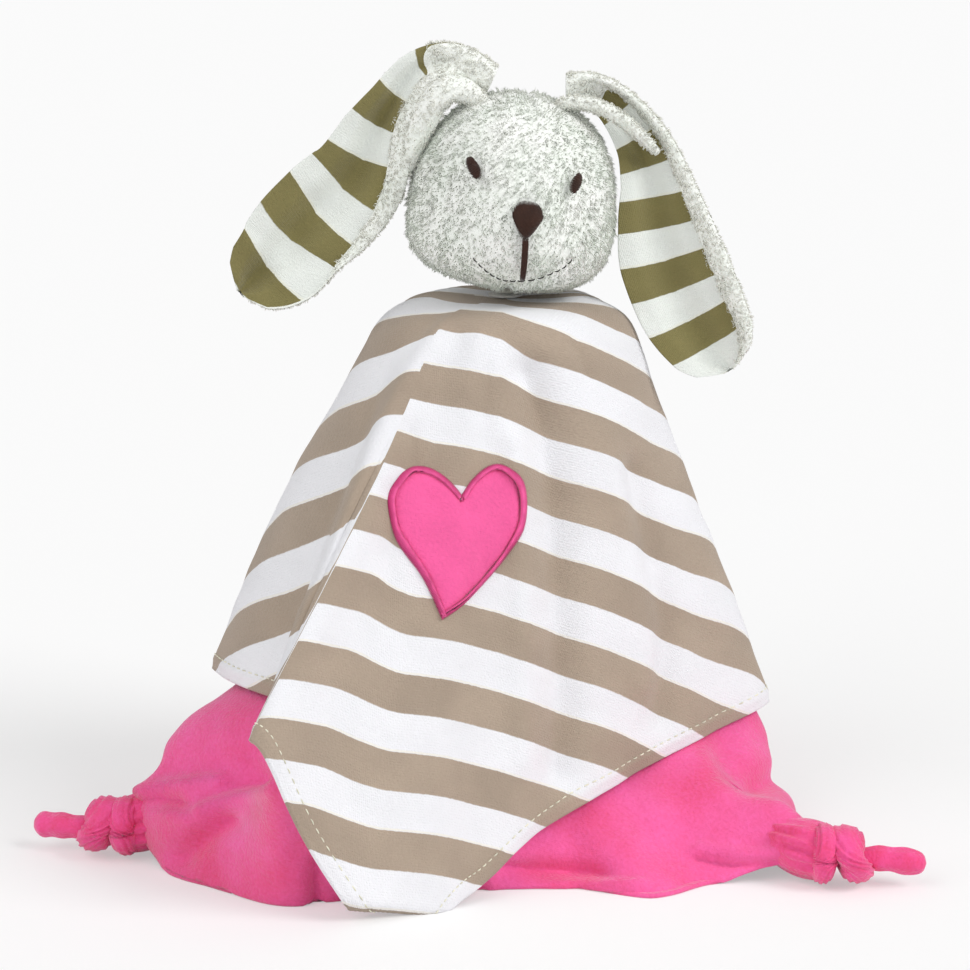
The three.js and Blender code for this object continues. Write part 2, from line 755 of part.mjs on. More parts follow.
function egg(grow, around, rows) {
  const points = [headPoint(0, 1, grow).toArray()];
  for (let r = 1; r < rows; r += 1) {
    const height = Math.cos((Math.PI * r) / rows);
    for (let c = 0; c < around; c += 1) {
      points.push(headPoint((2 * Math.PI * c) / around, height, grow).toArray());
    }
  }
  points.push(headPoint(0, -1, grow).toArray());
  const last = points.length - 1;
  const faces = [];
  for (let c = 0; c < around; c += 1) {
    const n = (c + 1) % around;
    faces.push([0, 1 + c, 1 + n]);
    for (let r = 0; r < rows - 2; r += 1) {
      const a = 1 + r * around;
      const b = a + around;
      faces.push([a + c, b + c, b + n], [a + c, b + n, a + n]);
    }
    const e = 1 + (rows - 2) * around;
    faces.push([e + c, last, e + n]);
  }
  return meshFrom(points, faces);
}

function placed(geometry) {
  const position = geometry.attributes.position;
  const point = new THREE.Vector3();
  for (let i = 0; i < position.count; i += 1) {
    placeHead(point.fromBufferAttribute(position, i));
    position.setXYZ(i, point.x, point.y, point.z);
  }
  return geometry;
}

function neckSocket() {
  const ball = new THREE.SphereGeometry(SOCKET_RADIUS, BALL_COUNT, BALL_COUNT);
  return solid(ball.translate(0, 0, PIVOT_UP));
}

function headBlock(low, high) {
  return solid(placed(block(new THREE.Vector3(...low), new THREE.Vector3(...high))));
}

function headPieces() {
  const wide = HEAD_WIDTH;
  const seam = SEAM_GAP / 2;
  const inner = solid(placed(egg(-PLUSH_THICK, INNER_AROUND_COUNT, INNER_ROW_COUNT)));
  const outer = solid(placed(egg(0, OUTER_AROUND_COUNT, OUTER_ROW_COUNT)));
  const skin = outer.subtract(inner).subtract(neckSocket());
  const stuffing = solid(placed(egg(-PLUSH_THICK - SEAT_GAP, INNER_AROUND_COUNT, INNER_ROW_COUNT)));
  const left = headBlock([-wide, -wide, -wide], [-seam, BACK_SEAM - seam, wide]);
  const right = headBlock([seam, -wide, -wide], [wide, BACK_SEAM - seam, wide]);
  const back = headBlock([-wide, BACK_SEAM + seam, -wide], [wide, wide, wide]);
  return [
    named('head_stuffing', geometryOf(stuffing.subtract(neckSocket())), WHITE),
    named('head_plush_left', geometryOf(skin.intersect(left)), CREAM),
    named('head_plush_right', geometryOf(skin.intersect(right)), CREAM),
    named('head_plush_back', geometryOf(skin.intersect(back)), CREAM),
  ];
}

// The face lies on the plush

function onFace(x, z, grow) {
  const height = z > 0 ? z / HEAD_RISE : z / HEAD_FALL;
  const full = z > 0 ? CROWN_POWER_SHARE : JAW_POWER_SHARE;
  const ring = (1 - Math.abs(height) ** full) ** (1 / full);
  const turn = Math.asin(x / ((HEAD_WIDTH / 2) * ring));
  return placeHead(headPoint(turn, height, grow));
}

function oval(width, height, steps, lean) {
  const points = [];
  for (let i = 0; i < steps; i += 1) {
    const a = (2 * Math.PI * i) / steps;
    const x = (width / 2) * Math.sin(a);
    const z = (height / 2) * Math.cos(a);
    points.push([x + lean * z, z]);
  }
  return points;
}

function shield(width, height, steps) {
  return oval(width, height, steps, 0).map(([x, z]) => {
    const down = 0.5 - z / height;
    const taper = SHIELD_TOP_SHARE - SHIELD_TAPER_SHARE * down ** SHIELD_POWER_SHARE;
    return [x * taper * (1 + SHIELD_BELLY_SHARE * Math.sin(Math.PI * down)), z];
  });
}

function facePiece(name, x, z, outline, thick) {
  const low = FACE_GAP;
  const place = (dx, dz, lift) => onFace(x + dx, z + dz, lift);
  const dome = (ring) => Math.sqrt(1 - DOME_SHARE * ring * ring);
  const high = (ring) => low + thick * (EDGE_SHARE + (1 - EDGE_SHARE) * dome(ring));
  return named(name, patch(place, outline, FACE_RING_SHARES, low, high), BROWN, 0.6);
}

function face() {
  const eye = oval(EYE_WIDTH, EYE_HEIGHT, EYE_COUNT, EYE_SLANT_SHARE);
  const mouth = oval(MOUTH_WIDTH, MOUTH_LENGTH, EYE_COUNT, 0);
  return [
    facePiece('eye_left', -EYE_ASIDE, EYE_UP, eye, EYE_THICK),
    facePiece('eye_right', EYE_ASIDE, EYE_UP, eye, EYE_THICK),
    facePiece('nose', 0, NOSE_UP, shield(NOSE_WIDTH, NOSE_HEIGHT, NOSE_COUNT), NOSE_THICK),
    facePiece('mouth_line', 0, MOUTH_UP, mouth, MOUTH_THICK),
  ];
}

// The neck

function neckPieces() {
  const ball = new THREE.SphereGeometry(BALL_RADIUS, BALL_COUNT, BALL_COUNT).translate(0, 0, PIVOT_UP);
  const base = NECK_HEIGHT + CLOTH_THICK / 2 + SEAT_GAP + DISC_THICK + SEAT_GAP;
  const foot = new THREE.CylinderGeometry(BALL_FOOT, BALL_FOOT, PIVOT_UP - base, BALL_COUNT);
  foot.rotateX(rad(90)).translate(0, 0, (PIVOT_UP + base) / 2);
  const disc = new THREE.CylinderGeometry(DISC_RADIUS, DISC_RADIUS, DISC_THICK, BALL_COUNT);
  disc.rotateX(rad(90)).translate(0, 0, base - SEAT_GAP - DISC_THICK / 2);
  const ring = new THREE.TorusGeometry(THREAD_RING, THREAD_TUBE, THREAD_COUNT, BALL_COUNT);
  ring.translate(0, 0, PIVOT_UP);
  return [
    named('neck_patch', bare(disc), WHITE),
    named('neck_core', geometryOf(solid(ball).add(solid(foot))), CREAM),
    named('neck_thread', bare(ring), WHITE),
  ];
}

// The ears

function earRoot(side) {
  const grow = EAR_ROOT + SEAT_GAP;
  const ring = EAR_ROOT_ASIDE / (HEAD_WIDTH / 2 + grow);
  const power = CROWN_POWER_SHARE;
  const height = (1 - ring ** power) ** (1 / power);
  return placeHead(headPoint(rad(90 * side), height, grow));
}

// Half width and middle of the ear at each step, with a round end about the root
function earStations(side, shares) {
  const root = earRoot(side);
  const rows = [[0, 0, 0, EAR_ROOT / EAR_LENGTH], ...shares];
  const middle = rows.map(([x, z, y]) => new THREE.Vector3(x, y, z).multiplyScalar(EAR_LENGTH).add(root));
  const curve = new THREE.CatmullRomCurve3(middle);
  const widths = rows.map((row, i) => new THREE.Vector3(i, row[3] * EAR_LENGTH, 0));
  const half = new THREE.CatmullRomCurve3(widths);
  const stations = [];
  const back = curve.getTangent(0).negate();
  for (let i = 0; i < EAR_CAP_COUNT; i += 1) {
    const a = rad(CAP_ANGLE * (1 - i / EAR_CAP_COUNT));
    const centre = root.clone().addScaledVector(back, EAR_ROOT * Math.sin(a));
    stations.push({ centre, ahead: curve.getTangent(0), half: EAR_ROOT * Math.cos(a), open: 0 });
  }
  for (let i = 0; i <= EAR_STEP_COUNT; i += 1) {
    const t = i / EAR_STEP_COUNT;
    const open = Math.min(1, 2 * t);
    stations.push({ centre: curve.getPoint(t), ahead: curve.getTangent(t), half: half.getPoint(t).y, open });
  }
  return stations;
}

// One row of points across the ear, on its front face or its back face
function earRow(station, inset, lift) {
  const side = new THREE.Vector3(-station.ahead.z, 0, station.ahead.x).normalize();
  const width = Math.max(station.half - inset, station.half * LEAST_WIDTH_SHARE);
  const row = [];
  for (let c = 0; c <= EAR_ACROSS_COUNT; c += 1) {
    const w = (2 * c) / EAR_ACROSS_COUNT - 1;
    const point = station.centre.clone().addScaledVector(side, w * width);
    point.y += lift(w) - EAR_CUP * station.open * ((w * width) / station.half) ** 2;
    row.push(point.toArray());
  }
  return row;
}

function earPiece(name, stations, inset, front, thick, color) {
  const edge = (w) => thick * (EDGE_SHARE + (1 - EDGE_SHARE) * Math.sqrt(1 - w ** EAR_EDGE_POWER_SHARE));
  const rings = stations.map((station) => [
    ...earRow(station, inset, () => front),
    ...earRow(station, inset, (w) => front + edge(w)).reverse(),
  ]);
  const count = rings[0].length;
  const faces = [];
  for (let r = 0; r < rings.length - 1; r += 1) {
    for (let c = 0; c < count; c += 1) {
      const n = (c + 1) % count;
      const a = r * count;
      const b = a + count;
      faces.push([a + c, b + c, b + n], [a + c, b + n, a + n]);
    }
  }
  const e = (rings.length - 1) * count;
  for (let c = 0; c < EAR_ACROSS_COUNT; c += 1) {
    const d = count - 1 - c;
    faces.push([c, c + 1, d - 1], [c, d - 1, d]);
    faces.push([e + c, e + d, e + d - 1], [e + c, e + d - 1, e + c + 1]);
  }
  return named(name, meshFrom(rings.flat(), faces), color);
}

function ear(name, side, shares) {
  const stations = earStations(side, shares);
  const inner = stations.slice(EAR_CAP_COUNT);
  return [
    earPiece('ear_' + name + '_plush', stations, 0, 0, EAR_THICK, CREAM),
    earPiece('ear_' + name + '_lining', inner, LINING_INSET, -SEAT_GAP - LINING_THICK, LINING_THICK, TAUPE),
  ];
}

// The whole part, centred over its own bounding box

function build() {
  const group = new THREE.Group();
  group.add(stripedCloth(), underCloth(), heartPatch(), heartBorder());
  Object.entries(KNOT_ANGLES).forEach(([name, row]) => group.add(knot(name, row)));
  group.add(...headPieces(), ...face(), ...neckPieces());
  group.add(...ear('left', -1, LEFT_EAR_SHARES), ...ear('right', 1, RIGHT_EAR_SHARES));
  const box = new THREE.Box3().setFromObject(group);
  const shift = [-(box.min.x + box.max.x) / 2, -(box.min.y + box.max.y) / 2, -box.min.z];
  group.children.forEach((mesh) => mesh.geometry.translate(...shift));
  group.name = 'comfort_blanket_lovey';
  group.userData.shift = shift;
  group.userData.roots = [earRoot(-1), earRoot(1)].map((p) => p.toArray());
  return group;
}

export default build();
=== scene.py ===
"""Comfort blanket lovey: a plush rabbit head with lined ears on two draped square cloths."""
import json
from typing import NamedTuple
import bpy
import numpy as np
from bpy.props import FloatProperty, FloatVectorProperty, IntProperty, PointerProperty
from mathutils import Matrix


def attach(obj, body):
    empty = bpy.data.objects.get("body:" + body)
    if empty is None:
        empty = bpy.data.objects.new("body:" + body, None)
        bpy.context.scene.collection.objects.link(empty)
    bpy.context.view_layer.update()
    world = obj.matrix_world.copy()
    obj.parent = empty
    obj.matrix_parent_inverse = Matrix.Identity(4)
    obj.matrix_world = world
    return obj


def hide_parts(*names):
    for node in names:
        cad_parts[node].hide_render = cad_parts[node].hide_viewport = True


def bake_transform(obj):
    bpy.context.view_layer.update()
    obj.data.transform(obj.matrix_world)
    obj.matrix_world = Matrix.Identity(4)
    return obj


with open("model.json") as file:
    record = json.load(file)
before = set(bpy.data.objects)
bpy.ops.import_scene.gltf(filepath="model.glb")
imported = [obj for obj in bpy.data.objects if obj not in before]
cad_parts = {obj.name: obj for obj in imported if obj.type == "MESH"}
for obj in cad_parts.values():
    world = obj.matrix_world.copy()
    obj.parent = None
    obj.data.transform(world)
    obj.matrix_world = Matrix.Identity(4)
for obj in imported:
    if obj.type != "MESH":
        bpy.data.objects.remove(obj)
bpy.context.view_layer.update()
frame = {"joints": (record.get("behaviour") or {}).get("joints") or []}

bl_info = {
    "name": "Comfort blanket lovey",
    "version": (1, 0, 0),
    "blender": (4, 5, 0),
    "location": "View3D > Sidebar > Lovey",
    "description": "Builds a plush comforter with draped cloths round its packed frame",
    "category": "Add Mesh",
}

# Shapes are worked out in millimetres. SHIFT carries them to the frame's metres, by the joint that
# the head turns on, which is PIVOT_UP high.
MM = 0.001
PIVOT_UP = 206
JOINTS = {joint["name"]: joint for joint in frame["joints"]}
SHIFT = np.array(JOINTS["head_turn"]["pos_m"]) - np.array([0, 0, PIVOT_UP * MM])

# No point lies lower than this, in metres
LOWEST = 0.00002

# Sizes of the cloths. They lie level nearly to NECK_REACH, where a bend reaches a SHOULDER each
# way, and then fall. The pink one lies UNDER_DROP below the striped one, comes out from under it
# at UPPER_SHARE of its rows, no lower than LEAVE_HEIGHT, and runs to the floor on a curve between
# a steep and a round one, which the last shares form.
CLOTH_SIDE = 375
CLOTH_THICK = 1.6
HALF_THICK = CLOTH_THICK / 2
NECK_HEIGHT = 196
NECK_REACH = 41
SHOULDER = 17
UNDER_DROP = 3.2
FLOOR_LIFT = 0.4
FLOOR_SINK = 1.2
SEAT_GAP = 0.35
LEAVE_HEIGHT = 16
UPPER_SHARE = 0.7
STEEP_OUT_SHARE = 0.45
STEEP_UP_SHARE = 0.35
ROUND_UP_SHARE = 0.55
SIDES = 4
PATH_STEPS = 24

# Sizes of the heart
HEART_WIDTH = 50
HEART_HEIGHT = 56.5
HEART_DROP = 84.5
HEART_ASIDE = 2.5
HEART_MIDDLE_SHARE = 0.45

# Sizes of the knots
KNOT_CORD_RADIUS = 5
KNOT_UP = 11.6
KNOT_OUT = 144
OTHER_KNOTS_OUT = KNOT_OUT * 0.958
KNOT_MOUTH_SHARE = 1.35

# Sizes of the head
HEAD_WIDTH = 74.5
HEAD_DEPTH = 76
HEAD_RISE = 45
HEAD_FALL = 24.5
HEAD_UP = 225.5
HEAD_ASIDE = 2
HEAD_TURN_ANGLE = 6
HEAD_LEAN_ANGLE = 8
MUZZLE = 3
MUZZLE_SPREAD = 15
MUZZLE_UP = 3
BACK_SEAM = 8
CROWN_POWER = 2.2
JAW_POWER = 2.8

# Widths of the pile's tufts on head and ears
HEAD_TUFT = 2.3
EAR_TUFT = 2.2

# Seeds that the random draws of knots, head, ears and their rolls start from
KNOT_SEED, HEAD_SEED, EAR_SEED, ROLL_SEED = 60, 70, 80, 90

# Sizes of the ears
EAR_LENGTH = 125
EAR_THICK = 3.2
EAR_CUP = 4
EAR_ROOT = 4.6
EAR_ROOT_ASIDE = 13

# Rows of the hem of the striped cloth: place along the sides, azimuth, radius, height, bulge as a
# share of the fall, tuck of the cloth beneath. Lengths are shares of a side.
HEM_SHARES = [
    [-0.544, -90, 0.286, 0.157, 0.03, 0.04],
    [-0.392, -53, 0.268, 0.176, 0.03, 0.02],
    [-0.262, -38.2, 0.366, 0.174, 0.02, 0.02],
    [-0.133, -30, 0.333, 0.062, 0, 0.02],
    [-0.067, -23.4, 0.305, 0.01, 0, 0.02],
    [0, -17.8, 0.281, 0.003, 0, 0.02],
    [0.131, -7.8, 0.237, 0.012, 0, 0.018],
    [0.24, 10.7, 0.19, 0.057, 0, 0.016],
    [0.348, 42.6, 0.174, 0.088, 0, 0.016],
    [0.457, 73.8, 0.21, 0.111, 0, 0.016],
    [0.533, 92.9, 0.26, 0.12, 0, 0.018],
    [0.765, 108, 0.13, 0.06, 0, 0.03],
    [1, 123, 0.28, 0.003, 0, 0.075],
    [1.25, 138, 0.135, 0.06, 0, 0.025],
    [1.5, 152, 0.268, 0.14, 0, 0.07],
    [1.75, 167, 0.13, 0.06, 0, 0.025],
    [2, 182, 0.3, 0.003, 0, 0.08],
    [2.25, 197, 0.13, 0.06, 0, 0.025],
    [2.5, 212, 0.268, 0.14, 0, 0.07],
    [2.75, 226.5, 0.135, 0.06, 0, 0.025],
    [3, 241, 0.28, 0.003, 0.01, 0.075],
    [3.23, 256, 0.13, 0.06, 0.02, 0.034],
]


def corner_share(out):
    """Share of a side at which the pink cloth's corner goes into its knot."""
    return (out - KNOT_MOUTH_SHARE * KNOT_CORD_RADIUS - SEAT_GAP) / CLOTH_SIDE


# Rows of the pink cloth where it meets the floor: place along the sides, azimuth, radius, height,
# and from steep to round as a share. Lengths are shares of a side.
FLOOR_SHARES = [
    [-0.53, -87, 0.3, 0, 0.6],
    [-0.49, -80, 0.335, 0.02, 1.1],
    [-0.46, -74.7, corner_share(KNOT_OUT), 0.03, 1.25],
    [-0.43, -69, 0.356, 0.012, 1.2],
    [-0.4, -63, 0.35, 0, 0.9],
    [-0.34, -54, 0.33, 0, 0.5],
    [-0.262, -40, 0.31, 0, 0.4],
    [-0.15, -31, 0.25, 0, 0.2],
    [0, -17.8, 0.22, 0, 0],
    [0.15, -2, 0.187, 0, 0],
    [0.27, 20, 0.2, 0, 0.1],
    [0.32, 33, 0.258, 0, 0.2],
    [0.36, 45, 0.262, 0, 0.3],
    [0.4, 54, 0.3, 0.02, 0.6],
    [0.425, 59, corner_share(OTHER_KNOTS_OUT), 0.03, 0.8],
    [0.45, 64, 0.31, 0.02, 0.7],
    [0.533, 84, 0.28, 0, 0.6],
    [0.62, 97, 0.22, 0, 0.2],
    [0.765, 108, 0.15, 0, 0],
    [1, 123, 0.2, 0, 0],
    [1.25, 138, 0.155, 0, 0],
    [1.42, 147, 0.3, 0.012, 0.3],
    [1.5, 152, corner_share(OTHER_KNOTS_OUT), 0.03, 0.5],
    [1.58, 157, 0.3, 0.012, 0.3],
    [1.75, 167, 0.155, 0, 0],
    [2, 182, 0.21, 0, 0],
    [2.25, 197, 0.155, 0, 0],
    [2.42, 207, 0.3, 0.012, 0.3],
    [2.5, 212, corner_share(OTHER_KNOTS_OUT), 0.03, 0.5],
    [2.58, 217, 0.3, 0.012, 0.3],
    [2.75, 226.5, 0.155, 0, 0],
    [3, 241, 0.2, 0, 0],
    [3.23, 256, 0.15, 0, 0],
    [3.38, 265, 0.22, 0, 0.2],
]

# Knots: azimuth, azimuth of the tail, and distance from the axis
KNOTS = {
    "front_left": (-74.7, -104, KNOT_OUT),
    "front_right": (59, 88, OTHER_KNOTS_OUT - 4),
    "back_right": (152, 150, OTHER_KNOTS_OUT),
    "back_left": (212, 215, OTHER_KNOTS_OUT),
}

# Outline of the heart: sideways as a share of half its width, down as a share of its height
HEART_RIGHT = [[.07, .24], [.25, .13], [.59, 0], [.86, .06], [1, .2], [1.05, .38], [.88, .61],
               [.5, .83], [-.06, 1]]
HEART_LEFT = [[-.06, 1], [-.38, .79], [-.67, .63], [-.87, .47], [-.96, .33], [-.82, .18],
              [-.55, .1], [-.28, .13], [.07, .24]]

# Middle line of each ear: sideways, height, depth and half width as shares of its length
EARS = {
    "left": [[-0.11, 0.051, 0, 0.048], [-0.206, 0.027, 0, 0.056], [-0.286, -0.065, 0, 0.068],
             [-0.33, -0.145, 0, 0.096], [-0.385, -0.275, -0.004, 0.136],
             [-0.462, -0.361, -0.012, 0.15], [-0.542, -0.433, -0.02, 0.144],
             [-0.6, -0.505, -0.026, 0.138], [-0.662, -0.556, -0.032, 0.112],
             [-0.722, -0.606, -0.036, 0.05]],
    "right": [[0.067, 0, 0, 0.044], [0.143, -0.048, 0, 0.056], [0.219, -0.148, 0, 0.072],
              [0.259, -0.252, 0, 0.092], [0.283, -0.364, -0.004, 0.12],
              [0.311, -0.484, -0.01, 0.144], [0.363, -0.62, -0.016, 0.146],
              [0.427, -0.732, -0.022, 0.124], [0.475, -0.808, -0.026, 0.056]],
}


# Vectors

def unit(v):
    """Each vector divided by its length."""
    return v / np.maximum(np.linalg.norm(v, axis=-1, keepdims=True), 1e-9)


def smooth(x):
    """Smooth step: 3 x squared less 2 x cubed, with x held between 0 and 1."""
    x = np.clip(x, 0, 1)
    return x * x * (3 - 2 * x)


def bell(x):
    """Bell curve: e to the minus x squared."""
    return np.exp(-x * x)


def ripple(points, size, seed, count=7):
    """Soft unevenness: the mean of sines along random directions, each about one size long."""
    rng = np.random.default_rng(seed)
    ways = unit(rng.normal(size=(count, points.shape[-1])))
    ways = ways * (2 * np.pi / (size * rng.uniform(0.7, 1.5, (count, 1))))
    waves = np.sin(points @ ways.T + rng.uniform(0, 2 * np.pi, count))
    return waves.mean(axis=-1) * 1.6


def over_grid(function, grid, *more):
    """What a function of a list of points says for a grid of points."""
    values = function(grid.reshape(-1, grid.shape[-1]), *more)
    return values.reshape(*grid.shape[:-1], *values.shape[1:])


def spin(points, axis, angle):
    """Points turned about an axis through the origin by an angle in degrees (Rodrigues)."""
    k = unit(np.array(axis, float))
    a = np.radians(angle)
    across = np.cross(np.broadcast_to(k, points.shape), points)
    return points * np.cos(a) + across * np.sin(a) + k * (points @ k)[..., None] * (1 - np.cos(a))


# Meshes

class Shape:
    """Gathers closed parts, given in millimetres, for one mesh in the frame's metres."""

    def __init__(self):
        self.points, self.faces, self.flat, self.tint, self.count = [], [], [], [], 0

    def add(self, points, faces, flat=None, tint=None):
        """Adds one closed part; all its faces are turned round if it encloses less than nothing."""
        volume = 0
        for face in faces:
            a = points[face[:, 0]]
            for k in range(1, face.shape[1] - 1):
                b, c = points[face[:, k]], points[face[:, k + 1]]
                volume += np.einsum("ij,ij->", a, np.cross(b, c))
        for face in faces:
            self.faces.append((face if volume > 0 else face[:, ::-1]) + self.count)
        self.points.append(points)
        self.flat.append(np.zeros((len(points), 2)) if flat is None else flat)
        self.tint.append(np.ones(len(points)) if tint is None else tint)
        self.count += len(points)
        return self

    def make(self, name, material, body, slot, nodes=()):
        """The finished object, with its flat places in metres as UV map and its tint as attribute.
        Without a body it is left with no parent."""
        mesh = bpy.data.meshes.new(name)
        points = np.concatenate(self.points) * MM + SHIFT
        points[:, 2] = np.maximum(points[:, 2], LOWEST)
        loops = np.concatenate([face.ravel() for face in self.faces]).astype(np.int32)
        sizes = np.concatenate([np.full(len(face), face.shape[1]) for face in self.faces])
        starts = np.concatenate([[0], np.cumsum(sizes)[:-1]]).astype(np.int32)
        mesh.vertices.add(len(points))
        mesh.vertices.foreach_set("co", points.astype(np.float32).ravel())
        mesh.loops.add(len(loops))
        mesh.loops.foreach_set("vertex_index", loops)
        mesh.polygons.add(len(sizes))
        mesh.polygons.foreach_set("loop_start", starts)
        mesh.polygons.foreach_set("use_smooth", np.ones(len(sizes), bool))
        layer = mesh.uv_layers.new(name="flat")
        flat = np.concatenate(self.flat)[loops] * MM
        layer.data.foreach_set("uv", flat.astype(np.float32).ravel())
        tint = mesh.attributes.new("tint", "FLOAT", "POINT")
        tint.data.foreach_set("value", np.concatenate(self.tint).astype(np.float32))
        mesh.update(calc_edges=True)
        mesh.validate()
        mesh.materials.append(material)
        piece = bpy.data.objects.new(name, mesh)
        bpy.context.scene.collection.objects.link(piece)
        if body:
            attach(piece, body)
        if nodes:
            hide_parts(*nodes)
        return piece


def loft(rings, flat=None, tint=None):
    """Skin over closed rings, row by row, with a fan from the middle of the first and last ring."""
    rows, columns = rings.shape[:2]
    points = np.concatenate([rings.reshape(-1, 3), rings[:1].mean(axis=1), rings[-1:].mean(axis=1)])
    index = np.arange(rows * columns).reshape(rows, columns)
    after = np.roll(index, -1, axis=1)
    quads = np.stack([index[:-1], index[1:], after[1:], after[:-1]], -1).reshape(-1, 4)
    first, last = np.full(columns, rows * columns), np.full(columns, rows * columns + 1)
    fans = [np.stack([first, index[0], after[0]], -1), np.stack([last, after[-1], index[-1]], -1)]
    if flat is not None:
        flat = np.concatenate([flat.reshape(-1, 2), flat[0].mean(0)[None], flat[-1].mean(0)[None]])
    if tint is not None:
        tint = np.concatenate([tint.ravel(), [tint[0].mean(), tint[-1].mean()]])
    return points, [quads, *fans], flat, tint


def about(first, second, across, up):
    """Offsets from points: each point's first vector times across, plus its second times up."""
    return across[..., None] * first[..., None, :] + up[..., None] * second[..., None, :]


def tubes(paths, radii, sides, facing=(0, 0, 1)):
    """Threads: a ring of points square to each path at every station, the ends closed flat."""
    count, stations = paths.shape[:2]
    ahead = unit(np.gradient(paths, axis=1))
    first = unit(np.cross(np.broadcast_to(facing, paths.shape), ahead))
    second = np.cross(ahead, first)
    angle = 2 * np.pi * np.arange(sides) / sides
    ring = about(first, second, np.cos(angle), np.sin(angle))
    points = paths[:, :, None] + radii[..., None, None] * ring
    index = np.arange(count * stations * sides).reshape(count, stations, sides)
    after = np.roll(index, -1, axis=2)
    quads = np.stack([index[:, :-1], after[:, :-1], after[:, 1:], index[:, 1:]], -1).reshape(-1, 4)
    return points.reshape(-1, 3), [quads, index[:, 0, ::-1], index[:, -1]]


def normals_of(grid, closed=True):
    """Unit normals of a grid of points from the cross product of its two directions."""
    down = np.gradient(grid, axis=0)
    if closed:
        aside = np.roll(grid, -1, axis=1) - np.roll(grid, 1, axis=1)
    else:
        aside = np.gradient(grid, axis=1)
    return unit(np.cross(down, aside))


def scatter(grid, normals, count, weight, rng):
    """Random places on a grid of points: a cell by its area and weight, then a spot inside it."""
    a, b, c, d = grid[:-1, :-1], grid[:-1, 1:], grid[1:, 1:], grid[1:, :-1]
    area = np.linalg.norm(np.cross(c - a, d - b), axis=-1) * weight[:-1, :-1]
    total = np.cumsum(area.ravel())
    cell = np.searchsorted(total, rng.uniform(0, total[-1], count))
    row, column = np.unravel_index(np.minimum(cell, area.size - 1), area.shape)
    u, v = rng.uniform(0, 1, (2, count, 1))

    def mix(field):
        near = field[row, column] * (1 - u) + field[row, column + 1] * u
        far = field[row + 1, column] * (1 - u) + field[row + 1, column + 1] * u
        return near * (1 - v) + far * v
    return mix(grid), unit(mix(normals))


def strands(roots, normals, length, lean, radius, clump, rng):
    """Pile: each fibre is a thin three-sided spike bent at its middle, and leans to its tuft's
    middle. Fibres of one tuft share a cell, clump wide, of a wavy grid in space."""
    warp = np.stack([ripple(roots, 6 * clump, seed) for seed in (1, 2, 3)], -1)
    cells = np.floor((roots + warp * clump) / clump).astype(np.int64)
    key = cells @ np.array([1, 4001, 4001 * 4001])
    tuft, member = np.unique(key, return_inverse=True)[0:2]
    size = np.bincount(member)
    middle = np.stack([np.bincount(member, roots[:, k]) / size for k in range(3)], -1)[member]
    drift = rng.normal(size=(len(tuft), 3))[member] * 0.28 + rng.normal(size=roots.shape) * 0.13
    tall = 1 + 0.18 * rng.normal(size=len(tuft))[member] + 0.1 * rng.normal(size=len(roots))
    tall = (length * tall)[:, None]
    tip = roots + normals * tall + (middle - roots) * 0.55 + (lean + drift) * tall
    bend = roots + normals * tall * 0.62 + (middle - roots) * 0.15 + (lean + drift) * tall * 0.3
    angle = rng.uniform(0, 2 * np.pi, (len(roots), 1)) + np.arange(3) * 2 * np.pi / 3
    first = unit(np.cross(normals, [0.31, 0.52, 0.8]))
    second = np.cross(normals, first)
    ring = about(first, second, np.cos(angle), np.sin(angle))
    points = np.concatenate([roots[:, None] + ring * radius, bend[:, None] + ring * radius * 0.8,
                             tip[:, None]], axis=1).reshape(-1, 3)
    base = np.arange(len(roots))[:, None] * 7
    quads = np.concatenate([base + [k, (k + 1) % 3, 3 + (k + 1) % 3, 3 + k] for k in range(3)])
    spikes = np.concatenate([base + [3 + k, 3 + (k + 1) % 3, 6] for k in range(3)])
    # Tint runs from 0.5 at the root to 0.95 at the tip, painted shade deep in the pile; the fleck
    # moves it at random by tuft and fibre.
    fleck = rng.normal(size=len(tuft))[member] * 0.07 + rng.normal(size=len(roots)) * 0.05
    tint = fleck[:, None] + np.array([0.5, 0.5, 0.5, 0.75, 0.75, 0.75, 0.95])
    return points, [quads, spikes, base + [2, 1, 0]], None, tint.ravel()


def curve(knots, share):
    """Centripetal Catmull-Rom curve through knots, read at shares of their number."""
    knots = np.array(knots, float)
    every = np.concatenate([2 * knots[:1] - knots[1:2], knots, 2 * knots[-1:] - knots[-2:-1]])
    spot = np.clip(np.asarray(share, float), 0, 1) * (len(knots) - 1)
    low = np.minimum(spot.astype(int), len(knots) - 2)
    t = (spot - low)[:, None]
    p = [every[low + k] for k in range(4)]
    gap = [np.maximum(np.linalg.norm(p[k + 1] - p[k], axis=1, keepdims=True) ** 0.5, 1e-4)
           for k in range(3)]
    chord = [(p[k + 1] - p[k]) / gap[k] for k in range(3)]
    leave = (chord[0] - (p[2] - p[0]) / (gap[0] + gap[1]) + chord[1]) * gap[1]
    arrive = (chord[1] - (p[3] - p[1]) / (gap[1] + gap[2]) + chord[2]) * gap[1]
    rise = 3 * (p[2] - p[1]) - 2 * leave - arrive
    return p[1] + t * (leave + t * (rise + t * (leave + arrive - 2 * (p[2] - p[1]))))


# Materials

def linear(colour):
    """Linear colour of red, green and blue given as on a screen, from 0 to 1."""
    c = np.array(colour, float)
    return tuple(np.where(c < 0.04045, c / 12.92, ((c + 0.055) / 1.055) ** 2.4))


def shade(colour, share):
    """A colour times one share, or times a share for each of red, green and blue."""
    return tuple(np.array(colour) * share)


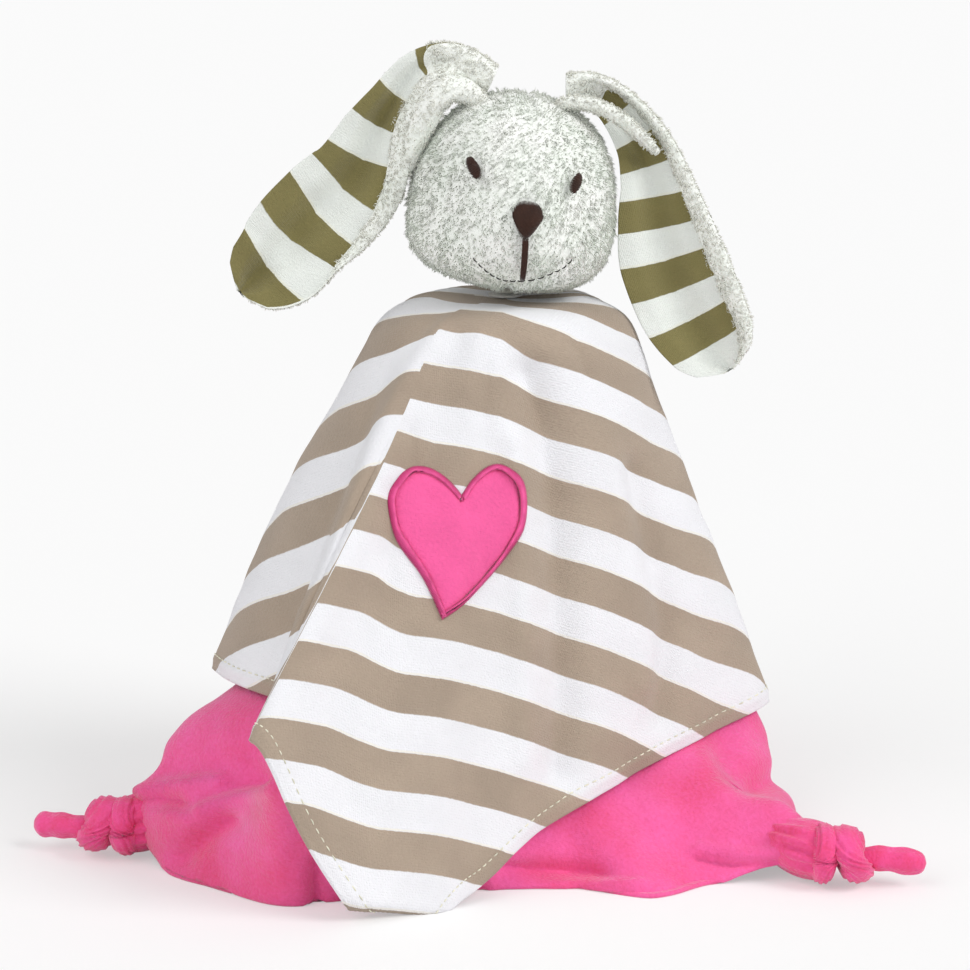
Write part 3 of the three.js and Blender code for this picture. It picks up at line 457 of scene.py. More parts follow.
class Finish:
    """A material's nodes, with short calls to add and join them."""

    def __init__(self, name, roughness, sheen=0.0):
        self.material = bpy.data.materials.new(name)
        self.material.use_nodes = True
        self.nodes = self.material.node_tree.nodes
        self.shader = self.nodes["Principled BSDF"]
        self.shader.inputs["Roughness"].default_value = roughness
        self.shader.inputs["Sheen Weight"].default_value = sheen
        self.shader.inputs["Sheen Roughness"].default_value = 0.45
        self.shader.inputs["Specular IOR Level"].default_value = 0.25

    def put(self, socket, value):
        """Joins a socket, or writes a plain value into it."""
        if isinstance(value, bpy.types.NodeSocket):
            self.material.node_tree.links.new(value, socket)
        elif isinstance(value, (tuple, list)) and len(value) == 3 and socket.type == "RGBA":
            socket.default_value = (*value, 1)
        else:
            socket.default_value = value

    def node(self, kind, inputs=None, **settings):
        """A new node with its settings and with what goes into its inputs."""
        node = self.nodes.new("ShaderNode" + kind)
        for name, value in settings.items():
            setattr(node, name, value)
        for name, value in (inputs or {}).items():
            self.put(node.inputs[name], value)
        return node

    def sum(self, operation, *values):
        """A Math node."""
        return self.node("Math", dict(enumerate(values)), operation=operation).outputs[0]

    def mix(self, share, low, high):
        """Two colours mixed by a share."""
        return self.node("Mix", {0: share, 6: low, 7: high}, data_type="RGBA").outputs[2]

    def flat(self):
        """Sideways and downward places on the flat cloth, and both as a vector."""
        places = self.node("UVMap", uv_map="flat").outputs[0]
        parts = self.node("SeparateXYZ", {0: places})
        return parts.outputs[0], parts.outputs[1], places

    def place(self):
        """Object coordinates."""
        return self.node("TexCoord").outputs["Object"]

    def noise(self, vector, size, detail=2.0, low=0.35, high=0.65):
        """Cloudy unevenness about one size long in metres, as a share from 0 to 1."""
        node = self.node("TexNoise", {"Vector": vector, "Scale": 1 / size, "Detail": detail})
        return self.span(node.outputs[0], low, high)

    def span(self, value, low, high, to_low=0.0, to_high=1.0):
        """A value carried from one range to another and held there."""
        inputs = dict(enumerate((value, low, high, to_low, to_high)))
        return self.node("MapRange", inputs).outputs[0]

    def tint(self):
        """The share that the mesh carries as its tint attribute."""
        return self.node("Attribute", attribute_name="tint").outputs["Fac"]

    def bump(self, height, distance, strength):
        """Bump of a height given as a share, over a distance in metres."""
        node = self.node("Bump", {"Distance": distance, "Strength": strength, "Height": height})
        self.put(self.shader.inputs["Normal"], node.outputs[0])

    def surface(self, share, low, high):
        """Ends the material with two shaders mixed by a share."""
        mix = self.node("MixShader", {0: share, 1: low.outputs[0], 2: high.outputs[0]})
        self.put(self.nodes["Material Output"].inputs["Surface"], mix.outputs[0])

    def let_through(self, colour, share):
        """Lets a share of the light through to the far side, as thin pale fibres do."""
        self.surface(share, self.shader, self.node("BsdfTranslucent", {"Color": colour}))

    def colour(self, value):
        """The finished material, with its colour."""
        self.put(self.shader.inputs["Base Color"], value)
        return self.material


def knit_height(finish, sideways, downward, stitch):
    """Jersey's face: columns of small V stitches. It is the size of a sine across, plus 0.3 times
    a sine down that leans with it."""
    wale = finish.sum("SINE", finish.sum("MULTIPLY", sideways, 2 * np.pi / stitch))
    lean = finish.sum("MULTIPLY", finish.sum("ABSOLUTE", wale), 1.6)
    course = finish.sum("MULTIPLY_ADD", downward, 2 * np.pi / (stitch * 0.8), lean)
    return finish.sum("MULTIPLY_ADD", finish.sum("SINE", course), 0.3, finish.sum("ABSOLUTE", wale))


def striped_jersey(name, settings, offset, repeat=None):
    """Jersey in two bands: the band is brown where the downward place over the repeat, plus an
    offset, has a fraction under a half. Above each brown band is a line of the border's colour."""
    finish = Finish(name, 0.92, 0.25)
    sideways, downward, flat = finish.flat()
    wobble = finish.noise(flat, 0.002, 1.0, 0, 1)
    turn = finish.sum("MULTIPLY_ADD", downward, 1 / (repeat or settings.repeat), offset)
    turn = finish.sum("MULTIPLY_ADD", wobble, 0.014, turn)
    part = finish.sum("FRACT", turn)
    edge = finish.sum("ABSOLUTE", finish.sum("SUBTRACT", part, 0.25))
    brown = finish.span(edge, 0.243, 0.257, 1, 0)
    line = finish.sum("ABSOLUTE", finish.sum("SUBTRACT", part, 0.985))
    cream = finish.span(line, 0, 0.022, 0.4, 0)
    cloud = finish.noise(flat, 0.03, 3.0)
    fleck = finish.noise(flat, 0.0009, 2.0, 0.3, 0.7)
    taupe = finish.mix(cloud, tuple(settings.taupe), shade(settings.taupe, 1.16))
    taupe = finish.mix(finish.sum("MULTIPLY", fleck, 0.2), taupe, shade(settings.taupe, 0.7))
    white = finish.mix(cloud, tuple(settings.white), shade(settings.white, 0.95))
    white = finish.mix(cream, white, tuple(settings.border))
    fuzz = finish.sum("MULTIPLY_ADD", finish.noise(flat, 0.0007, 3.0), 1.6,
                      knit_height(finish, sideways, downward, 0.0011))
    finish.bump(fuzz, 0.0003, 0.4)
    return finish.colour(finish.mix(brown, white, taupe))


def plain_jersey(name, deep, bright, size=0.025):
    """Jersey of one colour, cloudy between its deep and bright shades, with a brushed face."""
    finish = Finish(name, 0.85, 0.5)
    sideways, downward, flat = finish.flat()
    cloud = finish.noise(finish.place(), size, 4.0, 0.3, 0.7)
    fleck = finish.noise(finish.place(), 0.0011, 2.0, 0.3, 0.7)
    share = finish.sum("MULTIPLY_ADD", fleck, 0.35, finish.sum("MULTIPLY", cloud, 0.65))
    soft = finish.noise(finish.place(), 0.0022, 4.0, 0.25, 0.75)
    knit = finish.sum("MULTIPLY", knit_height(finish, sideways, downward, 0.0009), 0.35)
    fuzz = finish.sum("ADD", knit, finish.sum("ADD", fleck, soft))
    finish.bump(fuzz, 0.0004, 0.45)
    return finish.colour(finish.mix(share, deep, bright))


def thread(name, colour, roughness=0.55, low=None):
    """Embroidery thread: two plies wound round each other show as fine slanting lines. Where the
    mesh's tint is low it takes the low colour, if there is one, which paints shade at the edges of
    the heart's cord."""
    finish = Finish(name, roughness, 0.2)
    place = finish.place()
    ply = finish.node("TexWave", {"Vector": place, "Scale": 900, "Distortion": 2},
                      bands_direction="DIAGONAL")
    finish.bump(ply.outputs["Fac"], 0.0001, 0.6)
    bright = tuple(np.minimum(shade(colour, 1.1), 1))
    twisted = finish.mix(finish.noise(place, 0.004, 2.0), shade(colour, 0.8), bright)
    return finish.colour(twisted if low is None else finish.mix(finish.tint(), low, twisted))


def plush(name, settings, thin):
    """Plush: fibres run from a darker root to a pale tip, which paints shade deep in the pile, and
    tufts differ a little. The thin share of the light goes through."""
    finish = Finish(name, 0.9, 0.6)
    share = finish.span(finish.tint(), 0, 1)
    cloud = finish.noise(finish.place(), 0.012, 3.0)
    tip = finish.mix(cloud, tuple(settings.tip), shade(settings.tip, (0.93, 0.96, 0.93)))
    finish.bump(finish.noise(finish.place(), 0.0012, 3.0, 0.3, 0.7), 0.0005, 0.6)
    colour = finish.mix(share, tuple(settings.root), tip)
    if thin:
        finish.let_through(colour, thin)
    return finish.colour(colour)


# Reading the tables

def read(rows, along):
    """Monotone cubic reading of a table that runs round the cloth: at each row the slope is the
    harmonic mean of the slopes before and after it, or none at a crest or hollow."""
    table = np.array(rows, float)
    turn = np.zeros(table.shape[1])
    turn[:2] = SIDES, 360
    table = np.concatenate([table - turn, table, table + turn])
    x = table[:, 0]
    slope = np.diff(table, axis=0) / np.diff(x)[:, None]
    both = slope[:-1] * slope[1:]
    total = np.where(both > 0, slope[:-1] + slope[1:], 1)
    knot = np.zeros_like(table)
    knot[1:-1] = np.where(both > 0, 2 * both / total, 0)
    low = np.searchsorted(x, along, side="right") - 1
    span = (x[low + 1] - x[low])[:, None]
    t = (along - x[low])[:, None] / span
    rise = table[low] + (table[low + 1] - table[low]) * t * t * (3 - 2 * t)
    return rise + span * (knot[low] * t * (1 - t) ** 2 - knot[low + 1] * t * t * (1 - t))


def flat_angle(along):
    """Angle on the flat square of a place on its edge."""
    side = np.floor(along)
    return np.pi / 2 * side + np.pi / 4 + np.arctan(2 * (along - side) - 1)


def along_at(angle):
    """Place on the square's edge at an angle: the inverse of flat_angle."""
    side = np.floor(angle / (np.pi / 2))
    return side + (1 + np.tan(angle - np.pi / 2 * side - np.pi / 4)) / 2


def quadratic(a, b, c):
    """Quadratic curve from a towards b to c, at even steps."""
    t = np.linspace(0, 1, PATH_STEPS + 1)[None, :, None]
    return a[:, None] * (1 - t) ** 2 + 2 * b[:, None] * t * (1 - t) + c[:, None] * t * t


def fall_path(reach, height, foot, bulge):
    """Radius and height along a column of cloth: level to the neck's edge, a bend as long as the
    shoulder, and a fall to the foot that bulges square to its own line."""
    edge = np.broadcast_to([reach, height], foot.shape).astype(float)
    fall = foot - edge
    low = edge + fall * (SHOULDER / np.linalg.norm(fall, axis=1, keepdims=True))
    middle = (low + foot) / 2 + np.stack([-fall[:, 1], fall[:, 0]], -1) * bulge[:, None]
    start = np.broadcast_to([0, height], foot.shape).astype(float)
    level = np.broadcast_to([reach - SHOULDER, height], foot.shape).astype(float)
    parts = [quadratic(start, (start + level) / 2, level), quadratic(level, edge, low)[:, 1:],
             quadratic(low, middle, foot)[:, 1:]]
    return np.concatenate(parts, axis=1)


def flat_place(distance, angle):
    """Sideways and downward place on the flat cloth, at a distance and an angle."""
    return np.asarray(distance)[..., None] * np.stack([np.sin(angle), np.cos(angle)], -1)


def from_middle(flat):
    """Distance and angle of flat places: the inverse of flat_place."""
    return np.hypot(flat[:, 0], flat[:, 1]), np.arctan2(flat[:, 0], flat[:, 1])


def lengths(path):
    """Length from the start of each path to each of its points."""
    steps = np.linalg.norm(np.diff(path, axis=1), axis=2)
    return np.concatenate([np.zeros((len(path), 1)), np.cumsum(steps, axis=1)], axis=1)


def walk(path, want):
    """Point of each path at its wanted length; past its end it runs on straight."""
    length = lengths(path)
    low = np.clip((length <= want[:, None]).sum(axis=1) - 1, 0, path.shape[1] - 2)
    row = np.arange(len(path))
    span = length[row, low + 1] - length[row, low]
    share = ((want - length[row, low]) / span)[:, None]
    return path[row, low] + (path[row, low + 1] - path[row, low]) * share


def round_axis(place, azimuth):
    """Points from radius and height at an azimuth, which is counted from the front to the right."""
    r, z = place[:, 0], place[:, 1]
    return np.stack([r * np.sin(azimuth), -r * np.cos(azimuth), z], -1)


# Striped cloth

def striped_columns(along):
    """Path of the striped cloth from its middle to its hem, and its azimuth, at each place on its
    edge."""
    hem = read(HEM_SHARES, along)
    foot = np.stack([hem[:, 2] * CLOTH_SIDE,
                     np.maximum(hem[:, 3] * CLOTH_SIDE, FLOOR_LIFT + HALF_THICK)], -1)
    return fall_path(NECK_REACH, NECK_HEIGHT, foot, hem[:, 4]), np.radians(hem[:, 1])


def striped_length(along):
    """Distance from the cloth's middle to its hem, with the spare cloth in the rolled corner."""
    path, _ = striped_columns(along)
    corner = np.minimum(np.abs(along), SIDES - np.abs(along))
    return lengths(path)[:, -1] + ROLL_EXTRA * bell(corner / 0.075)


def striped_base(flat):
    """Smooth middle of the striped cloth above flat places, sideways and down."""
    distance, angle = from_middle(flat)
    path, azimuth = striped_columns(along_at(angle))
    return round_axis(walk(path, distance), azimuth)


def flat_normals(surface, flat, step=0.5):
    """Outward normals of a surface over flat places, from its slopes sideways and downward."""
    aside = surface(flat + [step, 0]) - surface(flat - [step, 0])
    down = surface(flat + [0, step]) - surface(flat - [0, step])
    return unit(np.cross(down, aside))


# A brown and a white band together
REPEAT = 26.6

# Rolled front corner: where it starts, its radius, and the spare cloth in it
ROLL_DOWN = 238.5
ROLL_RADIUS = 3.2
ROLL_EXTRA = 15

# Ridge left of the front corner: its flat angle near the neck in degrees, what it turns for each
# millimetre of distance, the distance at which it runs on straight, and its angle there
RIDGE_HEAD = -11.6
RIDGE_SLANT = 0.04
RIDGE_BEND = 202.5
RIDGE_FOOT = -19.7

# Hem: distances of the stitches and of the turned edge from the rim, how far the rim bends in,
# and the pitch and length of the stitches
HEM_STITCH = 5.4
HEM_TURNED = 6.0
HEM_DIP = 1.3
STITCH_PITCH = 3.3
STITCH_DASH = 2.1

# Soft folds of the striped cloth away from the front: from and to as flat angle and distance,
# half width, height
STRIPED_FOLDS = [
    (-60, 60, -66, 150, 8, 1.4),
    (75, 60, 72, 150, 9, 1.5),
    (95, 50, 92, 150, 9, -1.6),
    (118, 70, 122, 160, 8, 1.5),
    (150, 60, 146, 170, 10, -1.8),
    (178, 70, 183, 180, 8, 1.6),
    (-150, 60, -155, 170, 10, -1.7),
    (-122, 70, -118, 150, 8, 1.5),
    (-92, 60, -95, 150, 8, -1.4),
]

# Folds and creases in the front view: half width, height, and the line as sideways and up
STRIPED_CREASES = [
    (7.5, -7, [(9, 160.6), (16.2, 137.2), (18.7, 115.6), (20.5, 79.6), (22, 43.6), (20.5, 18.4)]),
    (4.5, 2, [(3.2, 137.2), (5.4, 115.6), (6.1, 79.6), (6.8, 22)]),
    (7, 2.6, [(34.2, 137.2), (38.5, 115.6), (43.6, 79.6), (48.6, 50.8)]),
    (5.5, -4, [(46.4, 126.4), (52.2, 104.8), (58.7, 72.4), (56.5, 38.2)]),
    (2.6, -1.3, [(24.8, 171.4), (30.6, 160.2)]),
    (4, -1.3, [(-6.8, 161.6), (-7.6, 137.2)]),
    (3, -1, [(-34.2, 140), (-32.4, 126.4)]),
    (4, -1.2, [(-40.7, 119.2), (-42.1, 79.6)]),
    (6, 1.2, [(70.2, 101.2), (78.1, 72.4)]),
    (9, -1.4, [(-23.4, 47.2), (-12.6, -3.2)]),
    (6, -1.2, [(-63, 58), (-55.1, 7.6)]),
    (8, 1.4, [(-73.8, 133.6), (-87.5, 79.6)]),
]

# The camera: its distance from the point it looks at, that point's height, and the angle that it
# looks down. VIEW_FOOT is the height in the picture that the creases' heights are counted from.
VIEW_FAR = 1200
VIEW_UP = 155
VIEW_DOWN = np.radians(12)
VIEW_FOOT = 147.6


def front_view(points):
    """Sideways and upward places as seen from the front: carried along the sight lines to the
    plane through the toy's middle, the upward ones counted from the foot of the front."""
    low = points[:, 2] - VIEW_UP
    far = VIEW_FAR + points[:, 1] * np.cos(VIEW_DOWN) - low * np.sin(VIEW_DOWN)
    up = low * np.cos(VIEW_DOWN) + points[:, 1] * np.sin(VIEW_DOWN)
    return np.stack([points[:, 0], up], -1) * (VIEW_FAR / far)[:, None] + [0, VIEW_FOOT]


def crease_height(points, creases):
    """Height of creases: the bell curve of the distance from each line in the front view, on the
    front half only."""
    height, seen = np.zeros(len(points)), front_view(points)
    for wide, tall, line in creases:
        start, way = np.array(line[:-1]), np.diff(line, axis=0)
        gap = seen[:, None] - start
        part = np.clip((gap * way).sum(axis=2) / (way ** 2).sum(axis=1), 0, 1)
        off = np.linalg.norm(gap - part[..., None] * way, axis=2).min(axis=1)
        height += tall * bell(off / wide)
    return height * smooth((12 - points[:, 1]) / 12)


def ridge_angle(distance):
    """Flat angle, in degrees, of the ridge where the front overlaps the cloth's left part."""
    return RIDGE_HEAD - RIDGE_SLANT * np.minimum(distance, RIDGE_BEND)


def fold_height(flat):
    """Height of the folds: a bell curve across each line, which fades in and out at its ends,
    gathers near the neck as sines of the flat angle, the ridge with a groove at its foot, and a
    soft unevenness all over."""
    height = 0.45 * ripple(flat, 34, 11) + 0.2 * ripple(flat, 13, 12)
    for angle, start, to_angle, end, wide, tall in STRIPED_FOLDS:
        first = flat_place(start, np.radians(angle))
        way = flat_place(end, np.radians(to_angle)) - first
        share = (flat - first) @ way / (way @ way)
        off = np.linalg.norm(flat - first - np.clip(share, 0, 1)[:, None] * way, axis=1)
        fade = smooth(share / 0.3 + 0.3) * smooth((1 - share) / 0.3 + 0.3)
        height += tall * bell(off / wide) * fade
    distance, angle = from_middle(flat)
    gather = np.sin(17 * angle + 1.4 * np.sin(3 * angle)) * bell((distance - 47) / 17)
    behind = ridge_angle(distance) - np.degrees(angle)
    tuck = 3.0 * smooth(behind / 0.8) * bell(behind / 8) - 0.8 * bell((behind + 1.5) / 2)
    height = height + 0.7 * gather - tuck * smooth((distance - 70) / 60) * (np.abs(angle) < 1.2)
    return height * smooth((distance - 24) / 20)


def striped_surface(flat):
    """The striped cloth with its folds, which rise along the smooth surface's normals. Past the
    roll's line the front corner turns under, round an arc that gets tighter."""
    past = np.maximum(flat[:, 1] - ROLL_DOWN, 0) * (np.abs(flat[:, 0]) < flat[:, 1])
    start = flat - np.stack([0 * past, past], -1)
    normals = flat_normals(striped_base, start)
    points = striped_base(start)
    height = fold_height(start) + crease_height(points, STRIPED_CREASES)
    points = points + normals * height[:, None]
    turn = past / ROLL_RADIUS
    radius = ROLL_RADIUS * (1 - 0.06 * turn)
    ahead = unit(striped_base(start) - striped_base(start - [0, 1]))
    rolled = ahead * (radius * np.sin(turn))[:, None]
    return points + (rolled - normals * (radius * (1 - np.cos(turn)))[:, None])


def pattern_down(flat):
    """Downward place in the band pattern. The bands bow up to the right of the front corner, and
    start anew to the left of the ridge, where they rise to it."""
    distance, angle = from_middle(flat)
    angle = np.degrees(angle)
    right = -1.35 * np.clip(angle - 12, 0, 36) / np.maximum(distance, 45)
    front = 0.2 * smooth((-angle - 4) / 8) * smooth((distance - 60) / 60)
    left = -0.1 - 0.25 * smooth((distance - 40) / 120)
    left = left - 0.8 * smooth((distance - 55) / 125) * smooth((angle + 34) / 13)
    behind = smooth((ridge_angle(distance) - angle) / 0.1 + 0.5)
    bow = right + front * (1 - behind) + left * behind
    return flat[:, 1] + bow * smooth((85 - np.abs(angle)) / 20) * REPEAT


def hem_distance(along, share, length):
    """Distance on the flat cloth from the nearest side."""
    side = np.floor(along)
    return (1 - share) * length * np.cos(np.arctan(2 * (along - side) - 1))


def cloth_skin(middle, flat, up, down, rim):
    """Closed skin of a cloth: over its face from the middle to the hem, round the hem's edge, and
    back under it. Up and down are the distances of face and back from the middle, and the edge
    reaches out by the rim."""
    normals = normals_of(middle)
    face = middle + normals * up[..., None]
    back = middle - normals * down[..., None]
    out = unit(middle[-1] - middle[-2]) * rim
    rings = np.concatenate([face, (middle[-1] + out)[None], back[::-1]])
    return loft(rings, np.concatenate([flat, flat[-1:], flat[::-1]]))


def uneven_steps(stops, counts):
    """Even steps between stops, the last stop left out."""
    parts = [np.linspace(a, b, n, endpoint=False) for a, b, n in zip(stops, stops[1:], counts)]
    return np.concatenate(parts)


def striped_shape():
    """The striped cloth's skin on a grid of columns round it and rows from its middle out. The
    columns near the ridge bend with it, and the hem is thicker with a groove for its stitches."""
    along = uneven_steps([-0.56, -0.3, -0.2645, -0.2628, -0.1, 0.1, 0.65, 3.44],
                         [44, 14, 3, 40, 44, 76, 130])
    share = np.concatenate([uneven_steps([0.004, 0.1, 0.3, 0.93], [4, 20, 64]),
                            np.linspace(0.93, 1, 15)])
    length = striped_length(along)
    distance = share[:, None] * length[None]
    angle = np.degrees(flat_angle(along))[None]
    aside = (ridge_angle(distance) - RIDGE_FOOT) * bell((angle - RIDGE_FOOT) / 9)
    flat = flat_place(distance, np.radians(angle + aside * smooth((distance - 20) / 40)))
    edge = hem_distance(along[None], share[:, None], length[None])
    turned = smooth((HEM_TURNED - edge) / 0.8)
    groove = bell((edge - HEM_STITCH) / 0.6) * 0.4
    normals = over_grid(lambda places: flat_normals(striped_base, places), flat)
    dip = HEM_DIP * smooth((HEM_STITCH - edge) / HEM_STITCH)
    middle = over_grid(striped_surface, flat) - normals * dip[..., None]
    up = HALF_THICK + 0.35 * turned - groove
    pattern = np.stack([flat[..., 0], over_grid(pattern_down, flat)], -1)
    return cloth_skin(middle, pattern, up, HALF_THICK + 0.1 * turned, 0.55)


def hem_stitches():
    """Dashes of the topstitch: short threads a little sunk at both ends, set back from the hem."""
    start = np.arange(-0.5, 3.5, STITCH_PITCH / CLOTH_SIDE)
    along = (start[:, None] + np.linspace(0, STITCH_DASH / CLOTH_SIDE, 5)[None]).ravel()
    back = HEM_STITCH / np.cos(np.arctan(2 * (along - np.floor(along)) - 1))
    flat = flat_place(striped_length(along) - back, flat_angle(along))
    lift = np.tile([0.5, 0.85, 0.95, 0.85, 0.5], len(start))[:, None]
    points = striped_surface(flat) + flat_normals(striped_surface, flat) * lift
    radii = np.tile([0.12, 0.23, 0.25, 0.23, 0.12], (len(start), 1))
    return tubes(points.reshape(len(start), 5, 3), radii, 6)


# Pink cloth

# Creases of the pink cloth in the front view: half width, height, and the line
PINK_CREASES = [
    (8.5, -6, [(-124.2, 18.4), (-104.8, 20.5), (-88.9, 17.6)]),
    (2.2, 2.9, [(-133.6, 10.1), (-123.1, 13.7), (-104.8, 15.5)]),
    (3, -5.5, [(-134.3, 7.6), (-119.5, 6.5), (-114.5, 3.2)]),
    (3, 2.6, [(-136.1, 8.6), (-126, 5.4), (-115.2, 2.5)]),
    (3.5, 4.2, [(-113.8, 2.9), (-85.7, 12.6)]),
    (3, -3.4, [(-112.7, 6.1), (-87.5, 15.8)]),
    (5.2, -5.5, [(-116.6, -13), (-101.2, 0.4)]),
    (2.5, -2.1, [(-135.4, 2.2), (-134.6, -4.3)]),
    (3, -3.4, [(-67.3, -15.5), (-67.7, -30.2)]),
    (5.5, -6.5, [(76, 32.8), (79.6, 20.2), (86.8, 14.4), (96.1, 15.1)]),
    (2.4, 3.6, [(70.2, -10.8), (81.4, -13), (92.2, -13.3), (103.3, -11.2), (114.8, -9)]),
    (2.2, -3.1, [(70.2, -13), (82.8, -15.5), (102.6, -13.3)]),
    (7, 2.3, [(52.2, 11.2), (57.2, 2.2)]),
    (3.4, -3.9, [(0, -16.9), (34.2, -18.4)]),
    (2.2, 2.3, [(-5.4, -23), (48.6, -23.4)]),
]


def pink_base(along, share):
    """Middle of the pink cloth: it falls inside the striped one, and past the upper share of its
    length it comes out on a quadratic curve to its edge on the floor."""
    hem, floor = read(HEM_SHARES, along), read(FLOOR_SHARES, along)
    foot = np.maximum(hem[:, 3] * CLOTH_SIDE, FLOOR_LIFT + HALF_THICK)
    leave = np.maximum(foot, LEAVE_HEIGHT)
    drop = (NECK_HEIGHT - leave) / (NECK_HEIGHT - foot)
    radius = NECK_REACH + (hem[:, 2] * CLOTH_SIDE - NECK_REACH) * drop - hem[:, 5] * CLOTH_SIDE
    exit = np.stack([radius, leave], -1)
    first = fall_path(NECK_REACH - UNDER_DROP, NECK_HEIGHT - UNDER_DROP, exit, hem[:, 4])
    edge = np.stack([floor[:, 2] * CLOTH_SIDE, floor[:, 3] * CLOTH_SIDE - FLOOR_SINK], -1)
    away = exit[:, 1] - edge[:, 1]
    steep = np.stack([radius + (edge[:, 0] - radius) * STEEP_OUT_SHARE,
                      edge[:, 1] + away * STEEP_UP_SHARE], -1)
    round_ = np.stack([edge[:, 0], edge[:, 1] + away * ROUND_UP_SHARE], -1)
    last = quadratic(exit, steep + (round_ - steep) * floor[:, 4:5], edge)
    swing = np.clip((share - UPPER_SHARE) / (1 - UPPER_SHARE), 0, 1)
    top, rest = lengths(first)[:, -1], lengths(last)[:, -1]
    inside = walk(first, top * np.minimum(share / UPPER_SHARE, 1))
    outside = walk(last, rest * swing)
    place = np.where((share <= UPPER_SHARE)[:, None], inside, outside)
    azimuth = np.radians(hem[:, 1] + (floor[:, 1] - hem[:, 1]) * swing)
    return round_axis(place, azimuth), top * np.minimum(share / UPPER_SHARE, 1) + rest * swing


def pink_shape():
    """The pink cloth's skin, with creases by their lines in the front view and the same creases
    turned round to the back. Inside, it gives way to the striped cloth's valleys."""
    along = uneven_steps([-0.6, -0.3, -0.1, 0.25, 0.62, 3.4], [62, 24, 30, 74, 130])
    share = np.concatenate([uneven_steps([0.005, 0.1, 0.2, UPPER_SHARE], [4, 10, 22]),
                            np.linspace(UPPER_SHARE, 1, 62)])
    place = np.meshgrid(along, share)
    middle, distance = pink_base(place[0].ravel(), place[1].ravel())
    grid = middle.reshape(len(share), len(along), 3)
    normals = normals_of(grid)
    height = 0.6 * ripple(middle, 26, 21) + 0.3 * ripple(middle, 11, 22)
    height += (crease_height(middle, PINK_CREASES)
               + crease_height(middle * [-1, -1, 1], PINK_CREASES))
    fade = smooth((place[1].ravel() - UPPER_SHARE) / 0.12)
    under = np.minimum(crease_height(middle, STRIPED_CREASES), 0) - 0.6
    height = (height * fade + under * (1 - fade)).reshape(grid.shape[:2])
    grid = grid + normals * height[..., None]
    grid[..., 2] = np.maximum(grid[..., 2], HALF_THICK)
    flat = flat_place(distance.reshape(place[0].shape), flat_angle(place[0]))
    thick = np.full(place[0].shape, HALF_THICK)
    return cloth_skin(grid, flat, thick, thick, 0.5)


# Heart

def heart_outline(count):
    """The heart's outline as two curves, one down each side, in flat millimetres."""
    share = np.linspace(0, 1, count // 2 + 1)[1:]
    sides = [curve(side, share) for side in (HEART_RIGHT, HEART_LEFT)]
    return (np.concatenate(sides) - [0, HEART_MIDDLE_SHARE]) * [HEART_WIDTH / 2, HEART_HEIGHT]


def on_heart(flat, lift):
    """Points above the striped cloth, for flat places counted from the heart's middle."""
    flat = flat + [HEART_ASIDE, HEART_DROP + HEART_MIDDLE_SHARE * HEART_HEIGHT]
    return striped_surface(flat) + flat_normals(striped_surface, flat) * lift[:, None]


def inward(outline):
    """Unit vectors square to a closed flat outline, towards its inside."""
    way = np.roll(outline, -1, axis=0) - np.roll(outline, 1, axis=0)
    return unit(np.stack([-way[:, 1], way[:, 0]], -1))


def heart_patch():
    """The cotton patch: rings that shrink from the outline, puffed by a dome and a few dents."""
    outline = heart_outline(120)
    inner = outline * (1 - 1.7 / np.linalg.norm(outline, axis=1, keepdims=True))
    rings = np.linspace(1, 0.02, 26)
    flat = rings[:, None, None] * inner[None]
    puff = 0.35 + 1.3 * (1 - rings ** 6)
    puff = puff[:, None] + 0.3 * over_grid(ripple, flat, 15, 31)
    face = over_grid(on_heart, flat, HALF_THICK + puff.ravel())
    back = over_grid(on_heart, flat, np.full(puff.size, HALF_THICK))
    return loft(np.concatenate([face[::-1], back]), np.concatenate([flat[::-1], flat]))


def heart_border():
    """Satin stitched cord: threads laid square to the outline over a padded ridge, one after
    another. The ridge is nearer the inside, and the cord is wider on the heart's left. Its tint is
    lowest at both edges and highest on the ridge: painted shade on its slopes and a painted
    highlight on its crest."""
    outline = heart_outline(460)
    wide = 1.95 - 0.35 * np.clip(outline[:, :1] / 12, -1, 1)
    across = np.array([-0.12, 0.15, 0.45, 0.74, 0.94, 1.02])
    flat = outline[:, None] + inward(outline)[:, None] * (wide * across)[..., None]
    lift = HALF_THICK + np.array([0.1, 0.75, 1.35, 1.7, 1.25, 0.4])
    points = over_grid(on_heart, flat, np.tile(lift, len(outline)))
    radii = np.tile([0.16, 0.24, 0.27, 0.27, 0.22, 0.16], (len(outline), 1))
    # Tint across the cord: painted shade at both edges, painted highlight at the crest.
    tint = np.repeat([0, 0.1, 0.45, 1, 0.6, 0], 5)
    return (*tubes(points, radii, 5), None, np.tile(tint, len(outline)))


# Head

def place_head(points):
    """The head's own points, turned and leaned as in its pose at rest and set above the neck."""
    turned = spin(spin(points, (0, 0, 1), HEAD_TURN_ANGLE), (0, 1, 0), HEAD_LEAN_ANGLE)
    return turned + [HEAD_ASIDE, 0, HEAD_UP]


def head_point(turn, height, grow=0.0):
    """Egg of a superellipse: above its widest ring it closes with the crown's power and below with
    the jaw's, and a bell curve pushes the muzzle out."""
    rise = np.where(height > 0, HEAD_RISE, HEAD_FALL) + grow
    power = np.where(height > 0, CROWN_POWER, JAW_POWER)
    ring = (1 - np.minimum(1, np.abs(height)) ** power) ** (1 / power)
    x = (HEAD_WIDTH / 2 + grow) * ring * np.sin(turn)
    y = -(HEAD_DEPTH / 2 + grow) * ring * np.cos(turn)
    z = rise * height
    off = np.hypot(x, z - MUZZLE_UP) / MUZZLE_SPREAD
    return np.stack([x, np.where(y < 0, y - MUZZLE * bell(off) * ring, y), z], -1)


def on_face(x, z, grow):
    """Point above the face at a place sideways and up from the head's middle."""
    height = np.where(z > 0, z / HEAD_RISE, z / HEAD_FALL)
    power = np.where(z > 0, CROWN_POWER, JAW_POWER)
    ring = (1 - np.abs(height) ** power) ** (1 / power)
    return place_head(head_point(np.arcsin(x / (HEAD_WIDTH / 2 * ring)), height, grow))


